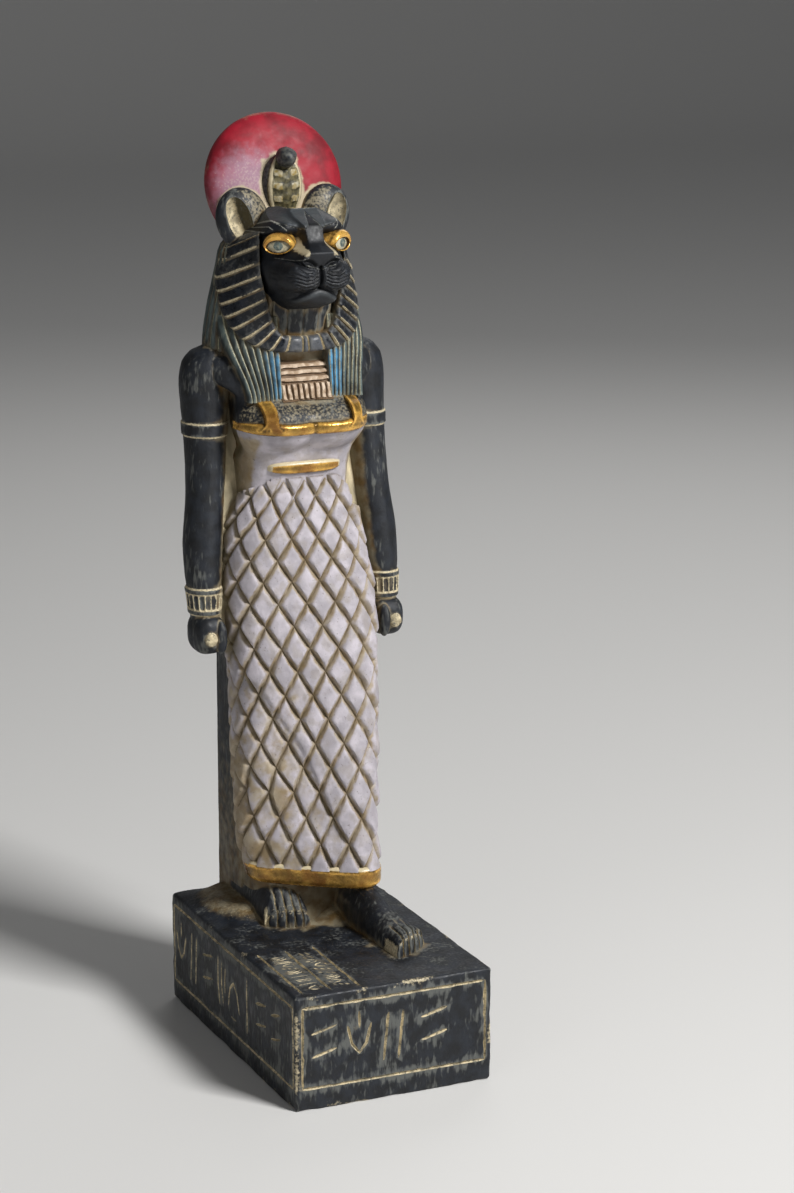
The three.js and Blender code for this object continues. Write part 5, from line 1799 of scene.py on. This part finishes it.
def disc_paint(p):
    """Red of the sun disc, with a pale pink patch in front that is a painted highlight over some rubbed
    paint, and cream along its rim.
    """
    base = p.hues.disc
    p.colour = p.spread(9, shade(base, 0.6), shade(base, 1.3))
    # The pale pink patch eases in towards a fixed point in front: a painted highlight over some rubbed paint.
    to_highlight_and_rub = p.node("VectorMath", {0: p.place, 1: HIGHLIGHT_AND_RUB_MIDDLE}, operation="DISTANCE")
    near = p.ease(to_highlight_and_rub.outputs["Value"], 0.026, 0.004)
    pink = p.total((near, 0.9), (p.noise(2.2, 7, shift=1), 0.45))
    p.over(pink, 0.35, 1.05, 0.85, (0.33, 0.20, 0.26))
    # Pale speckles, denser in the painted highlight.
    speckle = p.total((near, 0.35), (p.noise(0.8, 7, shift=8), 1))
    p.over(speckle, 0.78, 0.92, 0.4, (0.46, 0.34, 0.31))
    dirt_and_shade = p.total(("shelter", 0.8), ("crevice", 0.8), (p.noise(3, 6, shift=4), 0.8))
    p.over(dirt_and_shade, 0.8, 1.3, 0.9, shade(p.hues.cream, 0.7))
    p.over(p.rough("line", 2.0, 1), 0.3, 0.9, 0.7, (0.30, 0.20, 0.13))
    p.finish(p.ease(p.noise(3, 5), -1.0, 1.0, 0.7), p.noise(2.0, 5), 0.1, 0.35)


# The pale pink patch round this point is a painted highlight over some rubbed paint.
HIGHLIGHT_AND_RUB_MIDDLE = (-0.011, 0.034, 0.3035)  # middle of the pale patch on the disc, in metres


def cream_paint(p):
    """Cream pigment on bare cast stone, with grey rubbed through."""
    cream = p.hues.cream
    p.colour = p.spread(2.2, shade(cream, 0.45), shade(cream, 1.0))
    p.over(p.rough("stain", 2.6, 0.8, 2), 0.3, 0.8, 0.94, (0.04, 0.033, 0.012))
    p.over(p.noise(0.9, 6, shift=6), 0.54, 0.64, 0.75, (0.09, 0.09, 0.08))
    p.finish(0.75, p.noise(0.9, 6), 0.12)


def strands_paint(p):
    """Grey-green wig: cream along one flank of each strand, near-black between as dark paint with painted
    shade, bright blue beside the collar.
    """
    p.colour = p.spread(3, (0.015, 0.022, 0.024), (0.075, 0.10, 0.095), stretch=(1, 1, 0.3))
    blue = p.spread(3, shade(p.hues.blue, 0.5), shade(p.hues.blue, 1.2), 4)
    p.over(p.rough("tone", 5, 0.4, 3), 0.25, 0.9, 0.9, blue)
    # Near-black between the strands, darker where the groove is deeper and where the surface is hollow:
    # partly dark paint, partly painted shade.
    p.over(p.total(("stain", 1), ("dip", 0.4)), 0.12, 0.45, 0.85, (0.007, 0.010, 0.011))
    cream = (0.36, 0.34, 0.22)
    p.worn((0.24, 0.26, 0.21), rubbed=0.4, stain=0.35, line_low=0.42, cream=cream)
    p.finish(0.6, p.noise(1.0, 6, (1, 1, 0.3)), 0.15)


def collar_paint(p):
    """Pinkish cream bars and beads with red-brown between them."""
    p.colour = p.spread(2, (0.30, 0.2, 0.12), (0.58, 0.46, 0.34))
    p.over(p.rough("stain", 1.3, 0.6, 2), 0.3, 0.75, 0.92, (0.11, 0.06, 0.025))
    p.finish(0.7, p.noise(0.9, 6), 0.12)


def locks_paint(p):
    """Mane: blue-black locks with cream ridges, ochre in the grooves, rubbed grey under the chin."""
    base = p.hues.stone
    p.colour = p.spread(4, shade(base, 0.35), shade(base, 1.2))
    p.over(p.rough("tone", 1.5, 1.4), 0.5, 1.1, 0.75, (0.10, 0.105, 0.115))
    rub = p.worn((0.14, 0.14, 0.13), rubbed=0.45, stain=0.5, streak=(1, 1, 1), line_low=0.34)
    p.finish(p.ease(rub, 0.3, 1.1, 0.7), p.noise(1.0, 6), 0.14)


def hood_paint(p):
    """Cobra: olive ground, gold and cream cells, cream outline, dark sides."""
    p.colour = p.spread(1.6, (0.025, 0.022, 0.008), (0.13, 0.11, 0.05))
    bright = p.spread(1.7, (0.26, 0.18, 0.04), (0.46, 0.42, 0.30), 5)
    p.over(p.rough("tone", 1.2, 1.0, 2), 0.45, 1.0, 0.9, bright)
    p.over("stain", 0.3, 0.8, 1, p.spread(1.2, (0.010, 0.013, 0.018), (0.08, 0.08, 0.07)))
    cream = shade(p.hues.cream, 0.75)
    p.over(p.rough("line", 0.9, 0.7, 3), 0.35, 0.75, 1, cream)
    p.finish(0.55, p.noise(0.8, 6), 0.14)


def eye_paint(p):
    """Eyeball: cream white, a grey-green iris whose lighter middle is a painted glint, brown where it meets
    the lid.
    """
    p.colour = p.spread(1.2, (0.34, 0.30, 0.19), (0.54, 0.50, 0.36))
    iris = p.spread(0.7, (0.02, 0.028, 0.026), (0.15, 0.19, 0.17))
    p.over(p.rough("tone", 0.7, 0.5), 0.25, 0.8, 1, iris)
    p.over("stain", 0.3, 0.8, 1, (0.08, 0.04, 0.012))
    p.finish(0.35, p.noise(0.8, 5), 0.04)


def web_paint(p):
    """Stone between arm and body: yellow-cream, darkened to olive further in where light is kept off, as
    painted shade with some stain.
    """
    cream = p.hues.cream
    p.colour = p.spread(5, shade(cream, 0.5), shade(cream, 1.1), stretch=(1, 1, 0.4))
    # Olive where the casting keeps light off: painted shade with some stain.
    dirt_and_shade = p.total(("shelter", 0.75), (p.noise(4, 6, shift=4), 0.7))
    p.over(dirt_and_shade, 0.8, 1.7, 0.7, (0.11, 0.10, 0.05))
    p.finish(0.7, p.noise(1.0, 6), 0.12)


# The paints by name, in the order of the casting's material slots
PAINTERS = {
    "stone": stone_paint,
    "face": face_paint,
    "dress": dress_paint,
    "gold": gold_paint,
    "disc": disc_paint,
    "cream": cream_paint,
    "strands": strands_paint,
    "collar": collar_paint,
    "locks": locks_paint,
    "hood": hood_paint,
    "eye": eye_paint,
    "web": web_paint,
}
PAINTS = list(PAINTERS)


# The studio

AZIMUTH, PITCH, ROLL = math.radians(24.29), math.radians(13.65), math.radians(0.07)
CAMERA_PLACE = (-0.4091, -0.9683, 0.4199)
LENS = 92.88


def camera():
    """The camera at the photograph's place: it looks down by its pitch and stands on the figure's right."""
    data = bpy.data.cameras.new("camera")
    data.lens = LENS
    data.sensor_width = 36
    data.clip_end = 20
    made = placed("camera", data)
    forward = np.array(
        [math.sin(AZIMUTH) * math.cos(PITCH), math.cos(AZIMUTH) * math.cos(PITCH), -math.sin(PITCH)]
    )
    right = np.array([math.cos(AZIMUTH), -math.sin(AZIMUTH), 0])
    up = np.cross(right, forward)
    right, up = (
        right * math.cos(ROLL) + up * math.sin(ROLL),
        up * math.cos(ROLL) - right * math.sin(ROLL),
    )
    turn = Matrix((right, up, -forward)).transposed().to_4x4()
    turn.translation = CAMERA_PLACE
    made.matrix_world = turn
    bpy.context.scene.camera = made


def lamp(name, place, target, power, size):
    """A soft square light that faces its target."""
    data = bpy.data.lights.new(name, "AREA")
    data.energy = power
    data.size = size
    made = placed(name, data)
    way = np.array(target, float) - np.array(place, float)
    made.location = place
    made.rotation_mode = "QUATERNION"
    made.rotation_quaternion = Vector(way).to_track_quat("-Z", "Y")


def floor():
    """A pale sheet that runs level under the casting and curves up far behind it."""
    x = np.linspace(-4, 4, 9)
    t = np.linspace(0, 1, 41)
    bend = np.clip((t - 0.6) / 0.4, 0, 1) * math.pi / 2
    y = np.where(t < 0.6, mix(-3, 3, t / 0.6), 3 + 1.5 * np.sin(bend))
    z = np.where(t < 0.6, 0, 1.5 * (1 - np.cos(bend)))
    rows = np.stack(np.broadcast_arrays(x[None], y[:, None], z[:, None]), -1).reshape(-1, 3)
    index = np.arange(len(rows)).reshape(len(t), len(x))
    faces = np.stack([index[:-1, :-1], index[:-1, 1:], index[1:, 1:], index[1:, :-1]], -1).reshape(-1, 4)
    mesh = bpy.data.meshes.new("floor")
    mesh.from_pydata(rows.tolist(), [], faces.tolist())
    mesh.shade_smooth()
    material = bpy.data.materials.new("floor")
    material.use_nodes = True
    shader = material.node_tree.nodes["Principled BSDF"]
    shader.inputs["Base Color"].default_value = (*bpy.context.scene.statue_stage.floor, 1)
    shader.inputs["Roughness"].default_value = 0.9
    mesh.materials.append(material)
    placed("floor", mesh)


# Operators


class STATUE_OT_plinth(bpy.types.Operator):
    """Adds the plinth with the ground round the feet, and the back pillar"""

    bl_idname = "statue.plinth"
    bl_label = "Plinth and pillar"

    def execute(self, context):
        add_form("plinth", plinth(), "stone", lift=0)
        add_form("pillar", pillar(), "stone")
        return {"FINISHED"}


class STATUE_OT_dress(bpy.types.Operator):
    """Adds the dress with its net and the hem"""

    bl_idname = "statue.dress"
    bl_label = "Dress"

    def execute(self, context):
        add_form("dress", dress(), "dress")
        add_form("hem", hem(), "gold")
        return {"FINISHED"}


class STATUE_OT_torso(bpy.types.Operator):
    """Adds the torso, the bodice, the belt and the collar"""

    bl_idname = "statue.torso"
    bl_label = "Torso"

    def execute(self, context):
        add_form("torso", torso_solid(), torso_paints)
        bodice()
        add_form("collar", collar(), "collar")
        return {"FINISHED"}


class STATUE_OT_arms(bpy.types.Operator):
    """Adds the arms with their bands, the fists and the stone beside them"""

    bl_idname = "statue.arms"
    bl_label = "Arms"

    def execute(self, context):
        for side, name in SIDES:
            add_form("arm_" + name, arm_solid(side), "stone")
            add_form("web_" + name, web(side), "web")
            fist(side, name)
        return {"FINISHED"}


class STATUE_OT_feet(bpy.types.Operator):
    """Adds the feet and the stone round the ankles"""

    bl_idname = "statue.feet"
    bl_label = "Feet"

    def execute(self, context):
        add_form("foot_left", foot(forward_foot, FORWARD, 1), "stone")
        add_form("foot_right", foot(rear_foot, REAR, -1), "stone")
        add_form("fill", fill(), "stone")
        return {"FINISHED"}


class STATUE_OT_face(bpy.types.Operator):
    """Adds the face, the eyes and the throat"""

    bl_idname = "statue.face"
    bl_label = "Face"

    def execute(self, context):
        add_form("face", face(), "face")
        for side, name in SIDES:
            eye(side, name)
        add_form("throat", throat(), "stone")
        return {"FINISHED"}


class STATUE_OT_mane(bpy.types.Operator):
    """Adds the mane, the wig and its lappets"""

    bl_idname = "statue.mane"
    bl_label = "Mane and wig"

    def execute(self, context):
        add_form("mane", mane(), "locks")
        add_form("wig", wig_shell(), "strands")
        for side, name in SIDES:
            add_form("lappet_" + name, lappet(side), "strands")
        return {"FINISHED"}


class STATUE_OT_crown(bpy.types.Operator):
    """Adds the ears, the sun disc and the cobra"""

    bl_idname = "statue.crown"
    bl_label = "Ears, disc and cobra"

    def execute(self, context):
        ears()
        add_form("disc", sun_disc(), "disc")
        cobra()
        return {"FINISHED"}


class STATUE_OT_strokes(bpy.types.Operator):
    """Adds the cutters for the frame lines and the rows of marks"""

    bl_idname = "statue.strokes"
    bl_label = "Strokes"

    def execute(self, context):
        stroke_cutters()
        return {"FINISHED"}


class STATUE_OT_casting(bpy.types.Operator):
    """Joins all forms into the casting and works out its wear and its shelter, which drives some painted
    shade
    """

    bl_idname = "statue.casting"
    bl_label = "Casting"

    def execute(self, context):
        casting()
        return {"FINISHED"}


class STATUE_OT_paint(bpy.types.Operator):
    """Mixes the paints"""

    bl_idname = "statue.paint"
    bl_label = "Paint"

    def execute(self, context):
        for name, painter in PAINTERS.items():
            painter(Paint(name))
        return {"FINISHED"}


class STATUE_OT_stage(bpy.types.Operator):
    """Adds the floor, the lights and the camera"""

    bl_idname = "statue.stage"
    bl_label = "Stage"

    def execute(self, context):
        stage = context.scene.statue_stage
        camera()
        floor()
        middle = (0, 0, 0.2)
        lamp("key", (0.55, -1.05, 1.15), middle, stage.key_power, 0.4)
        lamp("fill", (-1.2, -0.9, 0.7), middle, stage.fill_power, 1.0)
        lamp("rim", (0.6, 0.9, 0.9), middle, stage.fill_power, 0.7)
        world = bpy.data.worlds.new("studio")
        world.use_nodes = True
        sky = world.node_tree.nodes["Background"]
        sky.inputs["Color"].default_value = (0.9, 0.92, 0.95, 1)
        sky.inputs["Strength"].default_value = stage.sky
        context.scene.world = world
        context.scene.view_settings.view_transform = "Standard"
        return {"FINISHED"}


OPERATORS = (
    STATUE_OT_plinth,
    STATUE_OT_dress,
    STATUE_OT_torso,
    STATUE_OT_arms,
    STATUE_OT_feet,
    STATUE_OT_face,
    STATUE_OT_mane,
    STATUE_OT_crown,
    STATUE_OT_strokes,
    STATUE_OT_casting,
    STATUE_OT_paint,
    STATUE_OT_stage,
)


class STATUE_PT_sidebar(bpy.types.Panel):
    """Lists the steps, the sizes and the colours"""

    bl_label = "Statue"
    bl_space_type = "VIEW_3D"
    bl_region_type = "UI"
    bl_category = "Statue"

    def draw(self, context):
        for operator in OPERATORS:
            self.layout.operator(operator.bl_idname)
        for group in (context.scene.statue_sizes, context.scene.statue_colours, context.scene.statue_stage):
            for name in own_properties(group):
                self.layout.prop(group, name)


GROUPS = {"statue_sizes": StatueSizes, "statue_colours": StatueColours, "statue_stage": StatueStage}


def register():
    """Registers the classes and puts the groups on the scene."""
    for name, group in GROUPS.items():
        bpy.utils.register_class(group)
        setattr(bpy.types.Scene, name, PointerProperty(type=group))
    for operator in OPERATORS:
        bpy.utils.register_class(operator)
    bpy.utils.register_class(STATUE_PT_sidebar)


def unregister():
    """Takes the classes and the groups away again."""
    bpy.utils.unregister_class(STATUE_PT_sidebar)
    for operator in reversed(OPERATORS):
        bpy.utils.unregister_class(operator)
    for name, group in GROUPS.items():
        delattr(bpy.types.Scene, name)
        bpy.utils.unregister_class(group)


def main():
    """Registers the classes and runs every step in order."""
    register()
    for operator in OPERATORS:
        getattr(bpy.ops.statue, operator.bl_idname.split(".")[1])()


if __name__ == "__main__":
    main()
